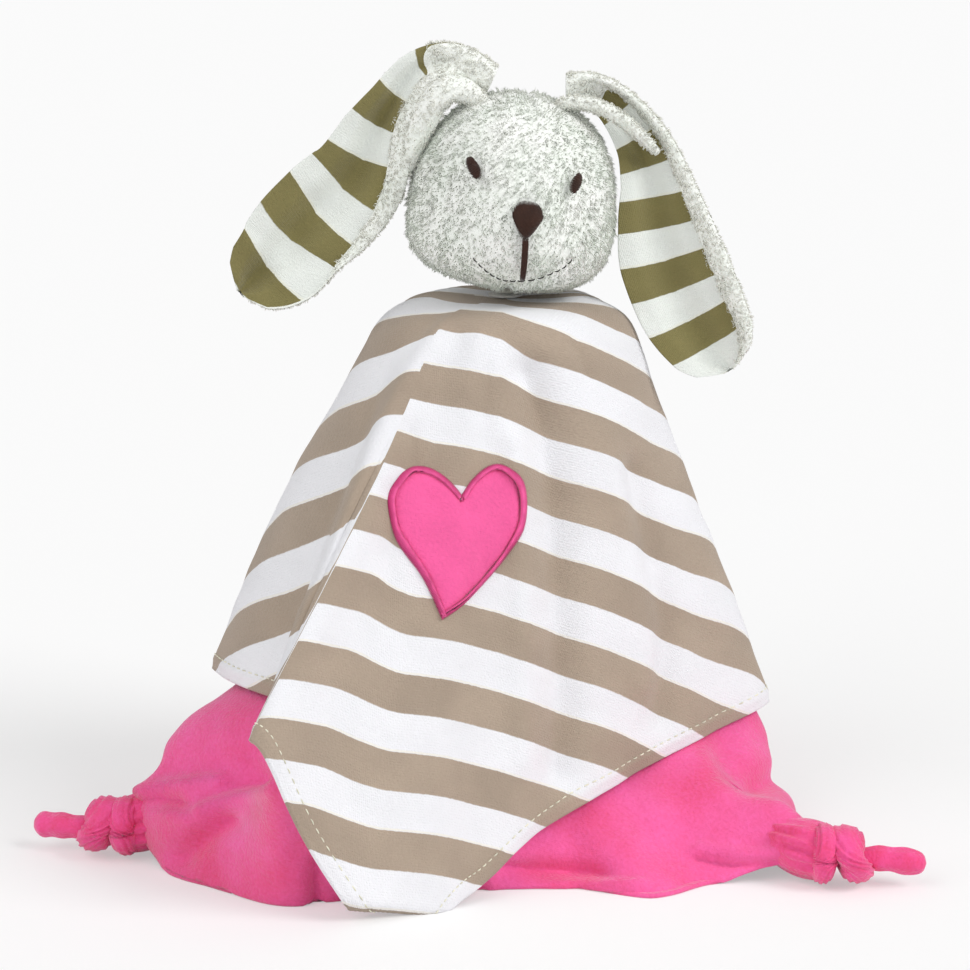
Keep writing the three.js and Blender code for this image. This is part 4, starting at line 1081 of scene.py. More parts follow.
def head_grid(rows, columns):
    """The head's own skin on a grid from crown to throat, pulled in along its seams, and its
    outward normals."""
    height = np.cos(np.pi * np.linspace(0.012, 0.988, rows))
    turn = 2 * np.pi * np.arange(columns + 1) / columns + np.pi
    turn, height = np.meshgrid(turn, height)
    points = head_point(turn, height)
    normals = unit(normals_of(points, closed=False))
    normals = np.where(np.einsum("ijk,ijk->ij", normals, points)[..., None] < 0, -normals, normals)
    front = bell(points[..., 0] / 1.3) * (points[..., 1] < BACK_SEAM)
    side = bell((points[..., 1] - BACK_SEAM) / 1.3)
    puff = bell(points[..., 0] / 5) * (points[..., 1] < BACK_SEAM) * 0.5
    out = 0.35 * over_grid(ripple, points, 22, 41) + puff - 1.5 * np.maximum(front, side) - 0.6
    return points + normals * out[..., None], normals


def combed(way, up):
    """A way to lean, less its part along each normal."""
    return way - up * np.einsum("ij,ij->i", way, up)[:, None]


def pile_on(panel, settings, seed):
    """Pile of one panel of the head: it leans down and away from the seam, and is short beside
    the seam, on the face and under the head."""
    rng = np.random.default_rng(seed)
    grid, normals = head_grid(150, 240)
    x, y = grid[..., 0], grid[..., 1]
    inside = {"left": (x < 0) & (y < BACK_SEAM), "right": (x >= 0) & (y < BACK_SEAM),
              "back": y >= BACK_SEAM}[panel]
    roots, up = scatter(grid, normals, settings.fibres, inside.astype(float), rng)
    aside = np.sign(roots[:, 0]) * bell(roots[:, 0] / 3) * (roots[:, 1] < BACK_SEAM)
    comb = combed(np.array([-0.12, -0.1, -0.95]) + aside[:, None] * np.array([0.6, 0, 0]), up)
    spread = np.clip(1.05 - 0.45 * bell(roots[:, 0] / 1.6) * (roots[:, 1] < BACK_SEAM), 0, 2)
    face = bell(np.hypot(roots[:, 0], roots[:, 2] + 3) / 19) * (roots[:, 1] < 0)
    under = smooth((-20 - roots[:, 2]) / 8)
    length = settings.pile * spread * (1 - 0.3 * face) * (1 - 0.7 * under)
    points, faces, flat, tint = strands(roots, up, length, comb, settings.fibre, HEAD_TUFT, rng)
    return place_head(points), faces, flat, tint


def satin(starts, ends, rise, thick, grow):
    """Satin stitches on the face: threads from starts to ends, over a dome that is rise high and
    stands a length grow above the head."""
    t = np.linspace(0, 1, 9)
    flat = starts[:, None] + (ends - starts)[:, None] * t[None, :, None]
    arch = np.sqrt(np.maximum(1 - (2 * t - 1) ** 2, 0))
    lift = grow + rise[:, None] * arch[None]
    points = on_face(flat[..., 0], flat[..., 1], lift)
    radii = thick * (0.45 + 0.55 * arch)[None] * np.ones((len(starts), 1))
    return tubes(points, radii, 5, facing=(0, -1, 0))


# How far the stitches of eyes, nose, mouth and smile stand above the head's smooth form
EYE_GROW, NOSE_GROW, MOUTH_GROW, SMILE_GROW = 2.2, 2.1, 1.9, 2.5

# Eyes: side, place across and up, tilt, and half width
EYES = {"eye_left": (-1, -18.1, 19.2, -0.25, 2.5), "eye_right": (1, 15.6, 18.6, 0.1, 2.1)}
EYE_RISE = 3

# Middle line of the smile, across and up, and the share of each step that a stitch takes
SMILE = [[-14.6, -9.1], [-11.1, -11.8], [-7.4, -13.9], [-3.5, -14.9], [0.7, -14.5],
         [6.3, -13.3], [11.2, -10.8], [15, -8.7], [17.8, -5.4]]
SMILE_DASH = 0.72


def eye(side, across, up, tilt, wide):
    """Stitches of an eye: an ellipse, twice EYE_RISE high, of threads that slant."""
    step = np.linspace(-0.96, 0.96, 12)
    half = wide * np.sqrt(1 - step ** 2)
    middle = np.stack([across + tilt * EYE_RISE * step, up + EYE_RISE * step], -1)
    lean = np.stack([half, 0.35 * half * side], -1)
    return satin(middle - lean, middle + lean, 0.55 + 0.25 * half, 0.32, EYE_GROW)


def nose():
    """Stitches of the nose: upright threads from a flat arch down to a rounded point."""
    x = np.linspace(-4.9, 4.9, 24)
    top = 6.2 + 5.6 * (1 - (np.abs(x) / 5.1) ** 3.2) ** 0.5
    low = 6.2 - 6.7 * (1 - (np.abs(x) / 5.15) ** 1.7)
    rise = 1.4 * np.sqrt(1 - (x / 5.6) ** 2) + 0.2
    starts, ends = np.stack([x + 0.3, top], -1), np.stack([0.92 * x + 0.3, low], -1)
    return satin(starts, ends, rise, 0.34, NOSE_GROW)


def mouth():
    """Stitches of the mouth: four threads from the nose down to the smile."""
    x = np.linspace(-0.8, 0.8, 4)
    starts, ends = np.stack([x + 0.5, 0 * x + 0.5], -1), np.stack([0.8 * x + 2.3, 0 * x - 15.0], -1)
    return satin(starts, ends, 0.5 + 0 * x, 0.4, MOUTH_GROW)


def smile():
    """Running stitches of the smile, one for each step along its line."""
    spots = curve(SMILE, np.linspace(0, 1, 15))
    starts, ends = spots[:-1], spots[:-1] + (spots[1:] - spots[:-1]) * SMILE_DASH
    return satin(starts, ends, np.full(len(starts), 0.5), 0.26, SMILE_GROW)


# Ears

def ear_root(side):
    """Middle of an ear's root on the head: the point that its joint turns about."""
    grow = EAR_ROOT + SEAT_GAP
    ring = EAR_ROOT_ASIDE / (HEAD_WIDTH / 2 + grow)
    height = (1 - ring ** CROWN_POWER) ** (1 / CROWN_POWER)
    return place_head(head_point(np.array(np.radians(90 * side)), np.array(height), grow)[None])[0]


def ear_line(side, rows, share):
    """Middle line of an ear, the way ahead, and its half width."""
    rows = np.array([[0, 0, 0, EAR_ROOT / EAR_LENGTH], *rows])
    knots = rows[:, [0, 2, 1]] * EAR_LENGTH + ear_root(side)
    centre = curve(knots, share)
    ahead = unit(curve(knots, share + 1e-3) - curve(knots, share - 1e-3))
    steps = np.arange(len(rows))
    half = curve(np.stack([steps, rows[:, 3] * EAR_LENGTH, 0 * steps], -1), share)[:, 1]
    return centre, ahead, half


# A taupe and a pale band of the lining together
EAR_REPEAT = 26.0


class EarForm(NamedTuple):
    """Numbers of an ear: its side, place across and depth of its lengthwise crease, place across
    where the lining ends near the root and how far that grows to the tip, slants of the bands on
    both sides of the crease, their offset, and how much closer together they lie."""
    side: int
    crease: float
    deep: float
    lined: float
    grow: float
    before: float
    after: float
    offset: float
    closer: float


EAR_FORMS = {"left": EarForm(-1, -0.05, 5.2, 0.42, 0.55, -0.27, 0.19, 0.84, 1.0),
             "right": EarForm(1, -0.2, 3.2, 0.5, 0.1, -0.18, 0.1, -0.27, 1.14)}

# Fibres of an ear and of the roll at its root, and their length as a share of the head's pile
EAR_FIBRES = 11000
ROLL_FIBRES = 1500
EAR_PILE_SHARE = 0.75
ROLL_PILE_SHARE = 0.8

# Rolls of plush at the ears' roots: radius, and points of the middle line
EAR_ROOT_FOLDS = {
    "left": (5.0, [[-7, -3, 265], [-12.4, -5, 270], [-18.4, -6, 272], [-24, -6, 268.5],
                   [-28.5, -5, 260.5], [-33, -4, 250], [-36, -2, 241]]),
    "right": (2.4, [[17, -3, 263], [20.8, -6, 266.5], [29, -7.5, 266.8], [40, -7.5, 262],
                    [48, -6, 255], [54, -4, 249]]),
}


def ear_surface(name, share, across):
    """Front of an ear without thickness: along its line, across by its half width and a little
    more beside the head, cupped by the square of the distance from the line, and folded in along
    the crease."""
    form = EAR_FORMS[name]
    side = form.side
    centre, ahead, half = ear_line(side, EARS[name], share)
    aside = unit(np.stack([-ahead[:, 2], 0 * half, ahead[:, 0]], -1))
    opened = smooth(share * 2.4)
    w = np.broadcast_to(across, (len(share), across.shape[-1]))
    spread = 0.3 * bell((share - 0.26) / 0.16) if side < 0 else 0.14 * bell((share - 0.45) / 0.28)
    wide = half[:, None] * w * (1 + spread[:, None] * np.maximum(-side * w, 0))
    points = centre[:, None] + aside[:, None] * wide[..., None]
    fold = 1 - smooth(np.abs(w - form.crease) / 0.55)
    points[..., 1] += opened[:, None] * (form.deep * fold - EAR_CUP * w ** 2)
    return points, half, centre


def lined_to(name, share):
    """Place across where an ear's lining ends."""
    form = EAR_FORMS[name]
    return form.lined + form.grow * smooth((share - 0.35) / 0.45)


def closed_tip(points, centre, share, least):
    """Rows of an ear drawn in to their middle at the tip, by the square root of the way left."""
    closed = np.sqrt(np.clip((1 - share) / 0.05, least, 1))
    return centre[:, None] + (points - centre[:, None]) * closed[:, None, None]


def ear_back(name):
    """Plush back of an ear: thick and rounded, with one side rolled forward beside the
    lining, and nearly round at the root, where it is gathered."""
    share = np.concatenate([np.linspace(0, 0.2, 16, endpoint=False), np.linspace(0.2, 1, 50)])
    turn = np.linspace(0, 2 * np.pi, 64, endpoint=False)
    across = -np.cos(turn)
    points, _, centre = ear_surface(name, share, across)
    gathered = 1 - smooth(share / 0.3)
    thick = EAR_THICK + 3.4 * gathered
    back = np.where(np.sin(turn) > 0, np.abs(np.sin(turn)) ** 0.6, 0)
    facing = np.sin(turn) <= 0
    lined = lined_to(name, share)[:, None]
    roll = np.sin(np.pi * np.clip((across - lined) / (1.06 - lined), 0, 1)) ** 0.7 * facing
    front = facing * np.abs(np.sin(turn)) ** 0.6
    points[..., 1] += thick[:, None] * back[None] - 3.2 * roll * smooth(share * 4)[:, None]
    points[..., 1] -= 4.2 * gathered[:, None] * front[None]
    return closed_tip(points, centre, share, 0.02)


def ear_lining(name):
    """Striped lining of an ear: a thin puffed sheet from the ear's narrow edge to the plush roll,
    puckered along its length. Its bands meet at the crease at an angle."""
    form = EAR_FORMS[name]
    share = np.linspace(0.07, 0.995, 80)
    across = np.linspace(-1, 1, 61)
    ends = np.minimum(lined_to(name, share) + 0.1, 1.0)[:, None]
    width = -1.02 + (across + 1) / 2 * (ends + 1.02)
    points, half, centre = ear_surface(name, share, width)
    points = closed_tip(points, centre, share, 0.05)
    line = np.concatenate([[0], np.cumsum(np.linalg.norm(np.diff(centre, axis=0), axis=1))])
    u = width * half[:, None]
    seam = form.crease * half[:, None]
    slant = np.where(u > seam, form.after * (u - seam), form.before * (u - seam))
    v = form.closer * line[:, None] + slant + form.offset * EAR_REPEAT
    flat = np.stack([u, v], -1)
    puff = 0.8 * (1 - across ** 6)[None] * smooth((1 - share) / 0.05)[:, None]
    puff = puff + 0.4 * over_grid(ripple, flat, 12, 51)
    front, back = points.copy(), points.copy()
    front[..., 1] -= 0.6 + puff
    back[..., 1] -= 0.15
    rings = np.concatenate([front, back[:, ::-1]], axis=1)
    return loft(rings, np.concatenate([flat, flat[:, ::-1]], axis=1))


def ear_pile(name, count, settings, seed):
    """Pile of an ear: all over its back, its roll and its gathered root, leaning down and a little
    away from the head."""
    rng = np.random.default_rng(seed)
    side = EAR_FORMS[name].side
    rings = ear_back(name)
    grid = np.concatenate([rings, rings[:, :1]], axis=1)
    normals = normals_of(grid, closed=False)
    middle = grid.mean(axis=1, keepdims=True)
    normals = normals * np.sign(np.einsum("ijk,ijk->ij", normals, grid - middle).sum())
    share = np.linspace(0, 1, len(grid))[:, None]
    turn = np.linspace(0, 2 * np.pi, grid.shape[1])[None]
    strip = -np.cos(turn) > lined_to(name, share) + 0.03
    shown = (np.sin(turn) > 0.35) | (share < 0.2) | strip | ((np.sin(turn) > 0) & (turn > 2))
    roots, up = scatter(grid, normals, count, shown.astype(float), rng)
    comb = combed(np.array([0.2 * side, 0, -0.35]) * np.ones_like(roots), up)
    length = settings.pile * EAR_PILE_SHARE * np.ones(count)
    return strands(roots, up, length, comb, settings.fibre, EAR_TUFT, rng)


def root_fold(name):
    """The fold at an ear's root: a round roll along its line, thin at both ends."""
    thick, knots = EAR_ROOT_FOLDS[name]
    t = np.linspace(0, 1, 40)
    radius = thick * (0.45 + 0.55 * np.sin(np.pi * t) ** 0.5)
    return fluted(curve(knots, t), radius, radius, 3, 0.05, 5, 28)


def roll_pile(rings, count, settings, seed):
    """Pile all round a roll of plush."""
    rng = np.random.default_rng(seed)
    grid = np.concatenate([rings, rings[:, :1]], axis=1)
    out = unit(grid - grid[:, :-1].mean(axis=1, keepdims=True))
    roots, up = scatter(grid, out, count, np.ones(grid.shape[:2]), rng)
    comb = combed(np.array([-0.3, 0, -0.6]) * np.ones_like(roots), up)
    length = settings.pile * ROLL_PILE_SHARE * np.ones(count)
    return strands(roots, up, length, comb, settings.fibre, EAR_TUFT, rng)


# Knots

def fluted(paths, wide, tall, flutes, deep, seed, count=48):
    """Gathered cloth along a path: an oval section, wide and tall, whose edge waves in and out by
    the share deep with its flutes."""
    ahead = unit(np.gradient(paths, axis=0))
    first = unit(np.cross(np.broadcast_to([0, 0, 1.0], paths.shape), ahead))
    second = np.cross(ahead, first)
    turn = np.linspace(0, 2 * np.pi, count, endpoint=False)
    rng = np.random.default_rng(seed)
    phase = rng.uniform(0, 2 * np.pi, 3)
    twist = np.linspace(0, 1.2, len(paths))[:, None]
    wave = np.abs(np.sin(flutes / 2 * turn[None] + phase[0] + twist)) - 0.6
    wave = wave + 0.4 * np.sin((flutes + 3) * turn[None] + phase[1] - twist)
    grow = 1 + deep * wave
    across, up = wide[:, None] * np.cos(turn) * grow, tall[:, None] * np.sin(turn) * grow
    return paths[:, None] + about(first, second, across, up)


# Bands of a knot: place along the tail, radius round it, half width, half thickness, and lean
KNOT_BANDS = [(5.2, 5.4, 6.2, 4.7, 0.42), (-4.2, 5.9, 4.3, 4.6, -0.1)]


def knot_shapes(shape, azimuth, heading, middle, seed):
    """An overhand knot: two bands bent round it, its rounded tail, and the gathered corner that
    swells and narrows on its way into it."""
    def put(rings, turned):
        placed = over_grid(spin, rings, (0, 0, 1), turned - 90)
        shape.add(*loft(placed + middle, flat=rings[..., :2]))

    turn = np.linspace(-0.1, 2 * np.pi + 0.1, 60)
    for out, radius, wide, tall, lean in KNOT_BANDS:
        across, up = radius * np.cos(turn), radius * np.sin(turn)
        ring = np.stack([out - lean * up + 0.8 * np.sin(turn / 2), across, up], -1)
        swell = 1 + 0.08 * np.sin(turn + 1)
        put(fluted(ring, wide * swell, tall * swell, 12, 0.12, seed + int(out)), heading)
    t = np.linspace(0, 1, 40)
    path = np.stack([6 + 26 * t, 0.8 * np.sin(5 * t), -2.2 + 0.6 * np.sin(4 * t)], -1)
    end = np.sqrt(np.clip(1 - ((t - 0.8) / 0.2).clip(0) ** 2, 0.004, 1))
    bumps = 1 + 0.05 * np.sin(19 * t + seed)
    wide, tall = (3.1 + 0.9 * t) * end * bumps, (4.0 + 0.8 * t) * end * bumps
    put(fluted(path, wide, tall, 3, 0.07, seed + 9), heading)
    path = np.stack([-2 - 27 * t, 0 * t, -0.6 + 3 * t], -1)
    swell = np.sin(np.pi * np.minimum(0.3 + 0.7 * t, 0.995)) ** 0.8
    put(fluted(path, 2.5 + 7.6 * swell, 3.5 + 6.4 * swell, 11, 0.13, seed + 5), azimuth)


# Neck

# Radius of the plug's ball, of the gathering thread's ring, and of the twist of its two plies
PLUG_RADIUS = 6.4
RING_RADIUS = 7.7
TWIST_RADIUS = 0.35


def lathe(radius, height, wave):
    """Rings round the neck's axis from their radii and heights, with twelve waves round them."""
    turn = np.linspace(0, 2 * np.pi, 48, endpoint=False)
    grow = np.array(radius)[:, None] * (1 + wave * np.sin(12 * turn))
    up = np.broadcast_to(np.array(height)[:, None], grow.shape)
    return np.stack([grow * np.cos(turn), grow * np.sin(turn), up], -1)


# Settings

def screen_colour(name, description, colour):
    """A colour setting, whose default is given as on a screen."""
    return FloatVectorProperty(name=name, description=description, default=linear(colour),
                               subtype="COLOR", size=3)


def amount(name, description, default, low, high, unit="NONE"):
    """A number setting with its range."""
    return FloatProperty(name=name, description=description, default=default, min=low, max=high,
                         unit=unit)


class LoveyCloths(bpy.types.PropertyGroup):
    """Sizes and colours of the two cloths and what is sewn on them."""
    repeat: amount("Repeat", "Height of a brown and a white band together", REPEAT * MM, 0.005, 0.2,
                   "LENGTH")
    taupe: screen_colour("Taupe", "Colour of the brown bands", (0.665, 0.60, 0.535))
    white: screen_colour("White", "Colour of the white bands", (0.95, 0.95, 0.965))
    border: screen_colour("Border", "Colour where the yarns change", (0.95, 0.91, 0.78))
    pink: screen_colour("Pink", "Bright shade of the lower cloth", (0.985, 0.42, 0.70))
    deep: screen_colour("Deep pink", "Deep shade of the lower cloth", (0.92, 0.30, 0.50))
    heart: screen_colour("Heart", "Colour of the heart", (0.99, 0.39, 0.65))


class LoveyHead(bpy.types.PropertyGroup):
    """Sizes and colours of the plush, the face and the ears' lining."""
    pile: amount("Pile", "Length of the plush fibres in millimetres", 1.05, 0.5, 8)
    fibre: amount("Fibre", "Radius of a fibre at its root in millimetres", 0.2, 0.05, 1)
    fibres: IntProperty(name="Fibres", description="Fibres on each panel of the head",
                        default=5600, min=100, max=19000)
    tip: screen_colour("Tip", "Colour of the fibres' tips", (0.995, 1.0, 0.985))
    # The root colour is painted shade: it stands for the shade in the gaps between the fibres.
    root: screen_colour("Root", "Colour between the fibres", (0.955, 0.96, 0.935))
    brown: screen_colour("Brown", "Colour of eyes, nose and mouth", (0.22, 0.115, 0.065))
    # The lining taupe is a darker, olive copy of the cloth's taupe: painted shade.
    taupe: screen_colour("Lining taupe", "Colour of the lining's taupe bands", (0.50, 0.47, 0.30))
    white: screen_colour("Lining white", "Colour of the lining's pale bands", (0.93, 0.945, 0.925))
    border: screen_colour("Lining border", "Colour where the yarns change", (0.93, 0.91, 0.80))


class LoveyStage(bpy.types.PropertyGroup):
    """Light and background."""
    key: amount("Key", "Strength of the main lamp", 1.6, 0, 20)
    fill: amount("Fill", "Strength of the second lamp", 0.9, 0, 20)
    sky: amount("Sky", "Strength of the light all round", 0.48, 0, 5)
    paper: FloatVectorProperty(name="Paper", description="Colour of the floor",
                               default=(0.95, 0.95, 0.95), subtype="COLOR", size=3)


# Stage: half the floor's side in metres, how far its paper shines to the camera, the lens and the
# sensor in millimetres, the shift as shares of the picture's side, and the lamps: their setting,
# their turns in degrees and how wide they look in degrees
FLOOR_REACH = 9.0
PAPER_GLOW = 0.4
LENS_LENGTH = 123.7
SENSOR_WIDTH = 36
PICTURE_SHIFT = (-20 / 970, -74 / 970)
LAMPS = {"right_lamp": ("key", (50, 0, 62), 28), "left_lamp": ("fill", (52, 0, -50), 50)}


class LOVEY_OT_stage(bpy.types.Operator):
    """Sets the floor, the soft lamps and the camera"""
    bl_idname = "lovey.stage"
    bl_label = "Stage"

    def execute(self, context):
        scene, settings = context.scene, context.scene.lovey_stage
        scene.view_settings.view_transform = "Standard"
        self.sky(scene, settings)
        for name, (power, turn, wide) in LAMPS.items():
            lamp = bpy.data.lights.new(name, "SUN")
            lamp.energy, lamp.angle = getattr(settings, power), np.radians(wide)
            holder = bpy.data.objects.new(name, lamp)
            holder.rotation_euler = np.radians(turn)
            scene.collection.objects.link(holder)
        self.floor(scene, settings)
        self.camera(scene)
        return {"FINISHED"}

    def sky(self, scene, settings):
        """Even light all round, which the camera sees as plain white."""
        scene.world = bpy.data.worlds.new("studio_light")
        scene.world.use_nodes = True
        nodes, links = scene.world.node_tree.nodes, scene.world.node_tree.links
        light, seen = nodes["Background"], nodes.new("ShaderNodeBackground")
        light.inputs["Strength"].default_value = settings.sky
        for background in (light, seen):
            background.inputs["Color"].default_value = (1, 1, 1, 1)
        ray, mix = nodes.new("ShaderNodeLightPath"), nodes.new("ShaderNodeMixShader")
        sockets = (ray.outputs["Is Camera Ray"], light.outputs[0], seen.outputs[0])
        for source, target in zip(sockets, mix.inputs):
            links.new(source, target)
        links.new(mix.outputs[0], nodes["World Output"].inputs["Surface"])

    def floor(self, scene, settings):
        """A wide square of paper at height nought."""
        mesh = bpy.data.meshes.new("floor")
        corners = [(-1, -1), (1, -1), (1, 1), (-1, 1)]
        mesh.from_pydata([(FLOOR_REACH * x, FLOOR_REACH * y, 0) for x, y in corners], [],
                         [(0, 1, 2, 3)])
        mesh.materials.append(self.paper(settings))
        floor = bpy.data.objects.new("floor", mesh)
        scene.collection.objects.link(floor)

    def paper(self, settings):
        """Matt pale paper that keeps the toy's shadow, and looks nearly white to the camera."""
        finish = Finish("paper_floor", 1.0)
        finish.shader.inputs["Specular IOR Level"].default_value = 0
        glow = finish.node("Emission", {"Strength": 1})
        seen = finish.node("LightPath").outputs["Is Camera Ray"]
        finish.surface(finish.sum("MULTIPLY", seen, PAPER_GLOW), finish.shader, glow)
        return finish.colour(tuple(settings.paper))

    def camera(self, scene):
        """The camera looks down at a point on the toy's axis, with the picture shifted off it."""
        lens = bpy.data.cameras.new("camera")
        lens.lens, lens.sensor_width = LENS_LENGTH, SENSOR_WIDTH
        lens.shift_x, lens.shift_y = PICTURE_SHIFT
        lens.dof.use_dof = False
        camera = bpy.data.objects.new("camera", lens)
        back = VIEW_FAR * np.array([0, -np.cos(VIEW_DOWN), np.sin(VIEW_DOWN)])
        camera.location = (back + [0, 0, VIEW_UP]) * MM + SHIFT
        camera.rotation_euler = (np.pi / 2 - VIEW_DOWN, 0, 0)
        scene.collection.objects.link(camera)
        scene.camera = camera


class LOVEY_OT_pink_cloth(bpy.types.Operator):
    """Drapes and creases the pink cloth beneath"""
    bl_idname = "lovey.pink_cloth"
    bl_label = "Pink cloth"

    def execute(self, context):
        settings = context.scene.lovey_cloths
        finish = plain_jersey("pink_jersey", tuple(settings.deep), tuple(settings.pink))
        piece = Shape().add(*pink_shape()).make("pink_cloth", finish, "blanket", "pink_jersey",
                                                ["under_cloth"])
        return {"FINISHED"}


class LOVEY_OT_knots(bpy.types.Operator):
    """Ties the four corner knots of the pink cloth"""
    bl_idname = "lovey.knots"
    bl_label = "Corner knots"

    def execute(self, context):
        settings = context.scene.lovey_cloths
        # The knots take the pink cloth's colours made deeper and redder: a painted-shade copy that
        # keeps them from looking paler than the cloth in the light.
        finish = plain_jersey("knot_jersey", shade(settings.deep, (1, 0.8, 0.85)),
                              shade(settings.pink, (1, 0.75, 0.85)), 0.007)
        for number, (name, (azimuth, heading, out)) in enumerate(KNOTS.items()):
            middle = round_axis(np.array([[out, KNOT_UP]]), np.radians([azimuth]))[0]
            shape = Shape()
            knot_shapes(shape, azimuth, heading, middle, KNOT_SEED + 10 * number)
            shape.make("tied_knot_" + name, finish, "blanket", "pink_jersey", ["knot_" + name])
        return {"FINISHED"}


class LOVEY_OT_striped_cloth(bpy.types.Operator):
    """Drapes the striped cloth and sews its hem"""
    bl_idname = "lovey.striped_cloth"
    bl_label = "Striped cloth"

    def execute(self, context):
        settings = context.scene.lovey_cloths
        finish = striped_jersey("striped_jersey", settings, 0.934)
        piece = Shape().add(*striped_shape()).make("striped_square", finish, "blanket",
                                                   "striped_jersey", ["striped_cloth"])
        seam = thread("cream_topstitch", linear((0.93, 0.92, 0.84)), 0.7)
        dashes = Shape().add(*hem_stitches()).make("hem_topstitch", seam, "blanket", "white_thread")
        return {"FINISHED"}


class LOVEY_OT_heart(bpy.types.Operator):
    """Lays the heart on the striped cloth and stitches its border"""
    bl_idname = "lovey.heart"
    bl_label = "Heart"

    def execute(self, context):
        pink = context.scene.lovey_cloths.heart
        finish = plain_jersey("heart_cotton", shade(pink, 0.86), tuple(pink), 0.012)
        Shape().add(*heart_patch()).make("heart_cotton_patch", finish, "blanket", "heart_cotton",
                                         ["heart_patch"])
        # The cord's deep red low colour is painted shade at its edges.
        cord = thread("heart_satin_thread", tuple(pink), 0.4, shade(pink, (0.62, 0.3, 0.5)))
        Shape().add(*heart_border()).make("heart_satin_border", cord, "blanket", "heart_cotton",
                                          ["heart_border"])
        return {"FINISHED"}


class LOVEY_OT_head(bpy.types.Operator):
    """Stuffs the head and covers its panels with pile"""
    bl_idname = "lovey.head"
    bl_label = "Head"

    def execute(self, context):
        settings = context.scene.lovey_head
        finish, backing = plush("cream_plush", settings, 0.55), plush("plush_backing", settings, 0)
        grid, _ = head_grid(90, 120)
        skin = Shape().add(*loft(place_head(grid[:, :-1]))).make(
            "head_skin", backing, "head", "cream_plush",
            ["head_stuffing", "head_plush_left", "head_plush_right", "head_plush_back"])
        for number, panel in enumerate(("left", "right", "back")):
            pile = pile_on(panel, settings, HEAD_SEED + number)
            Shape().add(*pile).make("head_pile_" + panel, finish, "head", "cream_plush")
        return {"FINISHED"}


class LOVEY_OT_face(bpy.types.Operator):
    """Embroiders eyes, nose, mouth and smile"""
    bl_idname = "lovey.face"
    bl_label = "Face"

    def execute(self, context):
        brown = thread("brown_thread", tuple(context.scene.lovey_head.brown), 0.5)
        dark = thread("dark_thread", linear((0.14, 0.12, 0.11)), 0.6)
        stitches = {name: eye(*numbers) for name, numbers in EYES.items()}
        stitches.update(nose=nose(), mouth=mouth())
        for name, threads in stitches.items():
            node = "mouth_line" if name == "mouth" else name
            Shape().add(*threads).make(name + "_stitches", brown, "head", "brown_thread", [node])
        Shape().add(*smile()).make("smile_stitches", dark, "head", "brown_thread")
        return {"FINISHED"}


class LOVEY_OT_ears(bpy.types.Operator):
    """Makes both ears with plush backs and striped linings"""
    bl_idname = "lovey.ears"
    bl_label = "Ears"

    def execute(self, context):
        settings = context.scene.lovey_head
        finish, backing = (bpy.data.materials[name] for name in ("cream_plush", "plush_backing"))
        stripes = striped_jersey("ear_jersey", settings, 0.0, EAR_REPEAT * MM)
        for number, name in enumerate(EARS):
            body = "ear_" + name
            back, fold = Shape(), root_fold(name)
            for rings in (ear_back(name), fold):
                back.add(*loft(rings, tint=np.full(rings.shape[:2], 0.9)))
            back = back.make(body + "_back", backing, None, "cream_plush", [body + "_plush"])
            lining = Shape().add(*ear_lining(name))
            lining = lining.make(body + "_striped_front", stripes, None, "striped_jersey",
                                 [body + "_lining"])
            pile = Shape().add(*ear_pile(name, EAR_FIBRES, settings, EAR_SEED + number))
            pile = pile.add(*roll_pile(fold, ROLL_FIBRES, settings, ROLL_SEED))
            pile = pile.make(body + "_pile", finish, None, "cream_plush")
            for piece in (back, lining, pile):
                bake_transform(piece)
        return {"FINISHED"}


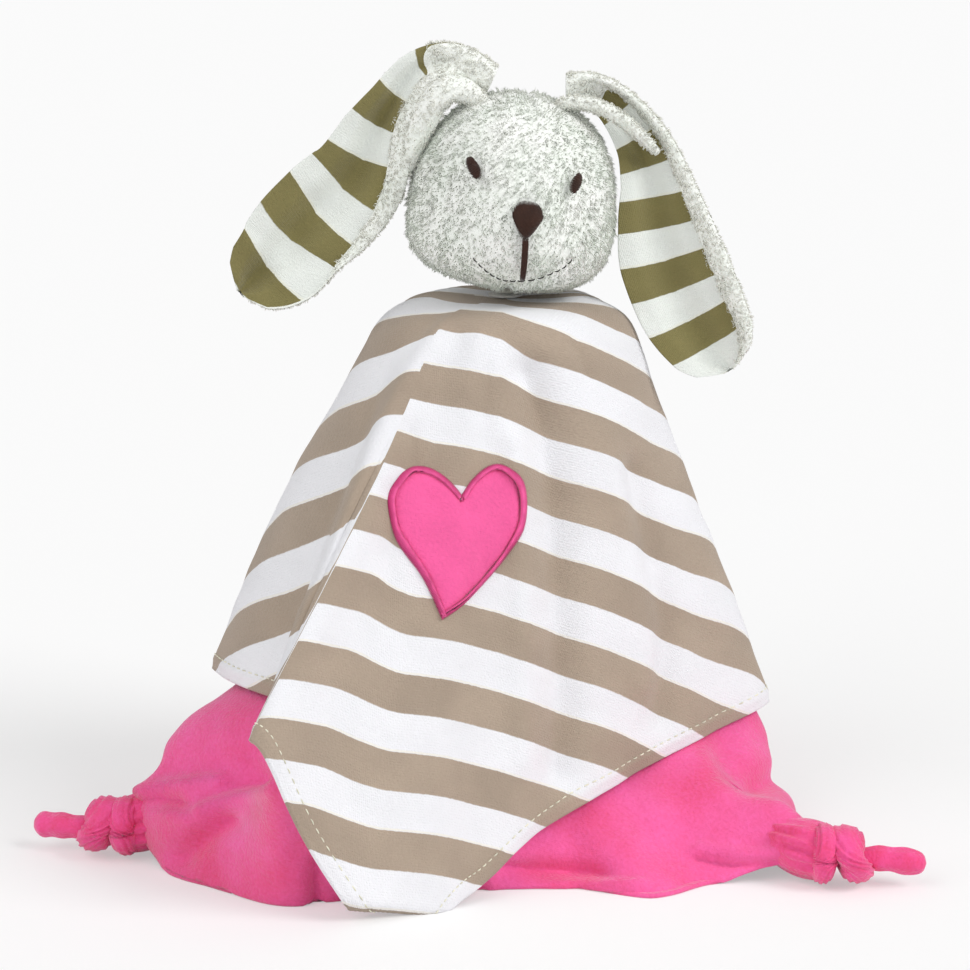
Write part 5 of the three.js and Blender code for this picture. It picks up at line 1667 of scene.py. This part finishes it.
class LOVEY_OT_neck(bpy.types.Operator):
    """Makes the tape, the plug and the gathering thread under the head"""
    bl_idname = "lovey.neck"
    bl_label = "Neck"

    def execute(self, context):
        tape = plain_jersey("white_tape", linear((0.86, 0.86, 0.84)), linear((0.93, 0.93, 0.92)))
        cloth = plain_jersey("plug_jersey", linear((0.84, 0.84, 0.8)), linear((0.92, 0.92, 0.88)))
        white = thread("white_thread", linear((0.92, 0.92, 0.9)))
        base = NECK_HEIGHT + HALF_THICK + SEAT_GAP
        disc = lathe([5.6, 6, 6, 5.6], [base, base + 0.15, base + 0.85, base + 1], 0)
        Shape().add(*loft(disc)).make("neck_tape", tape, "blanket", "white_thread", ["neck_patch"])
        rise = np.linspace(0, np.pi * 0.8, 24)[::-1]
        radius = np.concatenate([[3.4, 3.6, 3.6], PLUG_RADIUS * np.sin(rise)])
        height = np.concatenate([base + np.array([1.35, 1.5, 2.2]),
                                 PIVOT_UP + PLUG_RADIUS * np.cos(rise)])
        Shape().add(*loft(lathe(np.maximum(radius, 0.1), height, 0.02))).make(
            "neck_plug", cloth, "neck", "cream_plush", ["neck_core"])
        wind = np.linspace(0, 2 * np.pi * 0.985, 150)
        turns = np.array([9 * wind, 9 * wind + np.pi])
        radius = RING_RADIUS + TWIST_RADIUS * np.cos(turns)
        paths = np.stack([radius * np.cos(wind), radius * np.sin(wind),
                          PIVOT_UP + TWIST_RADIUS * np.sin(turns)], -1)
        Shape().add(*tubes(paths, np.full(paths.shape[:2], 0.42), 8)).make(
            "gathering_thread", white, "collar", "white_thread", ["neck_thread"])
        return {"FINISHED"}


OPERATORS = [LOVEY_OT_stage, LOVEY_OT_neck, LOVEY_OT_pink_cloth, LOVEY_OT_knots,
             LOVEY_OT_striped_cloth, LOVEY_OT_heart, LOVEY_OT_head, LOVEY_OT_face, LOVEY_OT_ears]
SETTINGS = {"lovey_cloths": LoveyCloths, "lovey_head": LoveyHead, "lovey_stage": LoveyStage}


class LOVEY_PT_panel(bpy.types.Panel):
    """Lists the settings and the pieces"""
    bl_label = "Comfort blanket lovey"
    bl_idname = "LOVEY_PT_panel"
    bl_space_type = "VIEW_3D"
    bl_region_type = "UI"
    bl_category = "Lovey"

    def draw(self, context):
        layout = self.layout
        for name in SETTINGS:
            group = getattr(context.scene, name)
            for prop in group.bl_rna.properties:
                if prop.identifier not in ("rna_type", "name"):
                    layout.prop(group, prop.identifier)
        for operator in OPERATORS:
            layout.operator(operator.bl_idname)


def register():
    """Registers settings, operators and the panel."""
    for group in SETTINGS.values():
        bpy.utils.register_class(group)
    for operator in [*OPERATORS, LOVEY_PT_panel]:
        bpy.utils.register_class(operator)
    for name, group in SETTINGS.items():
        setattr(bpy.types.Scene, name, PointerProperty(type=group))


def unregister():
    """Takes away what register added."""
    for name in SETTINGS:
        delattr(bpy.types.Scene, name)
    for kind in [LOVEY_PT_panel, *OPERATORS, *SETTINGS.values()]:
        bpy.utils.unregister_class(kind)


def main():
    """Builds the toy piece by piece."""
    register()
    for operator in OPERATORS:
        group, name = operator.bl_idname.split(".")
        getattr(getattr(bpy.ops, group), name)()


if __name__ == "__main__":
    main()
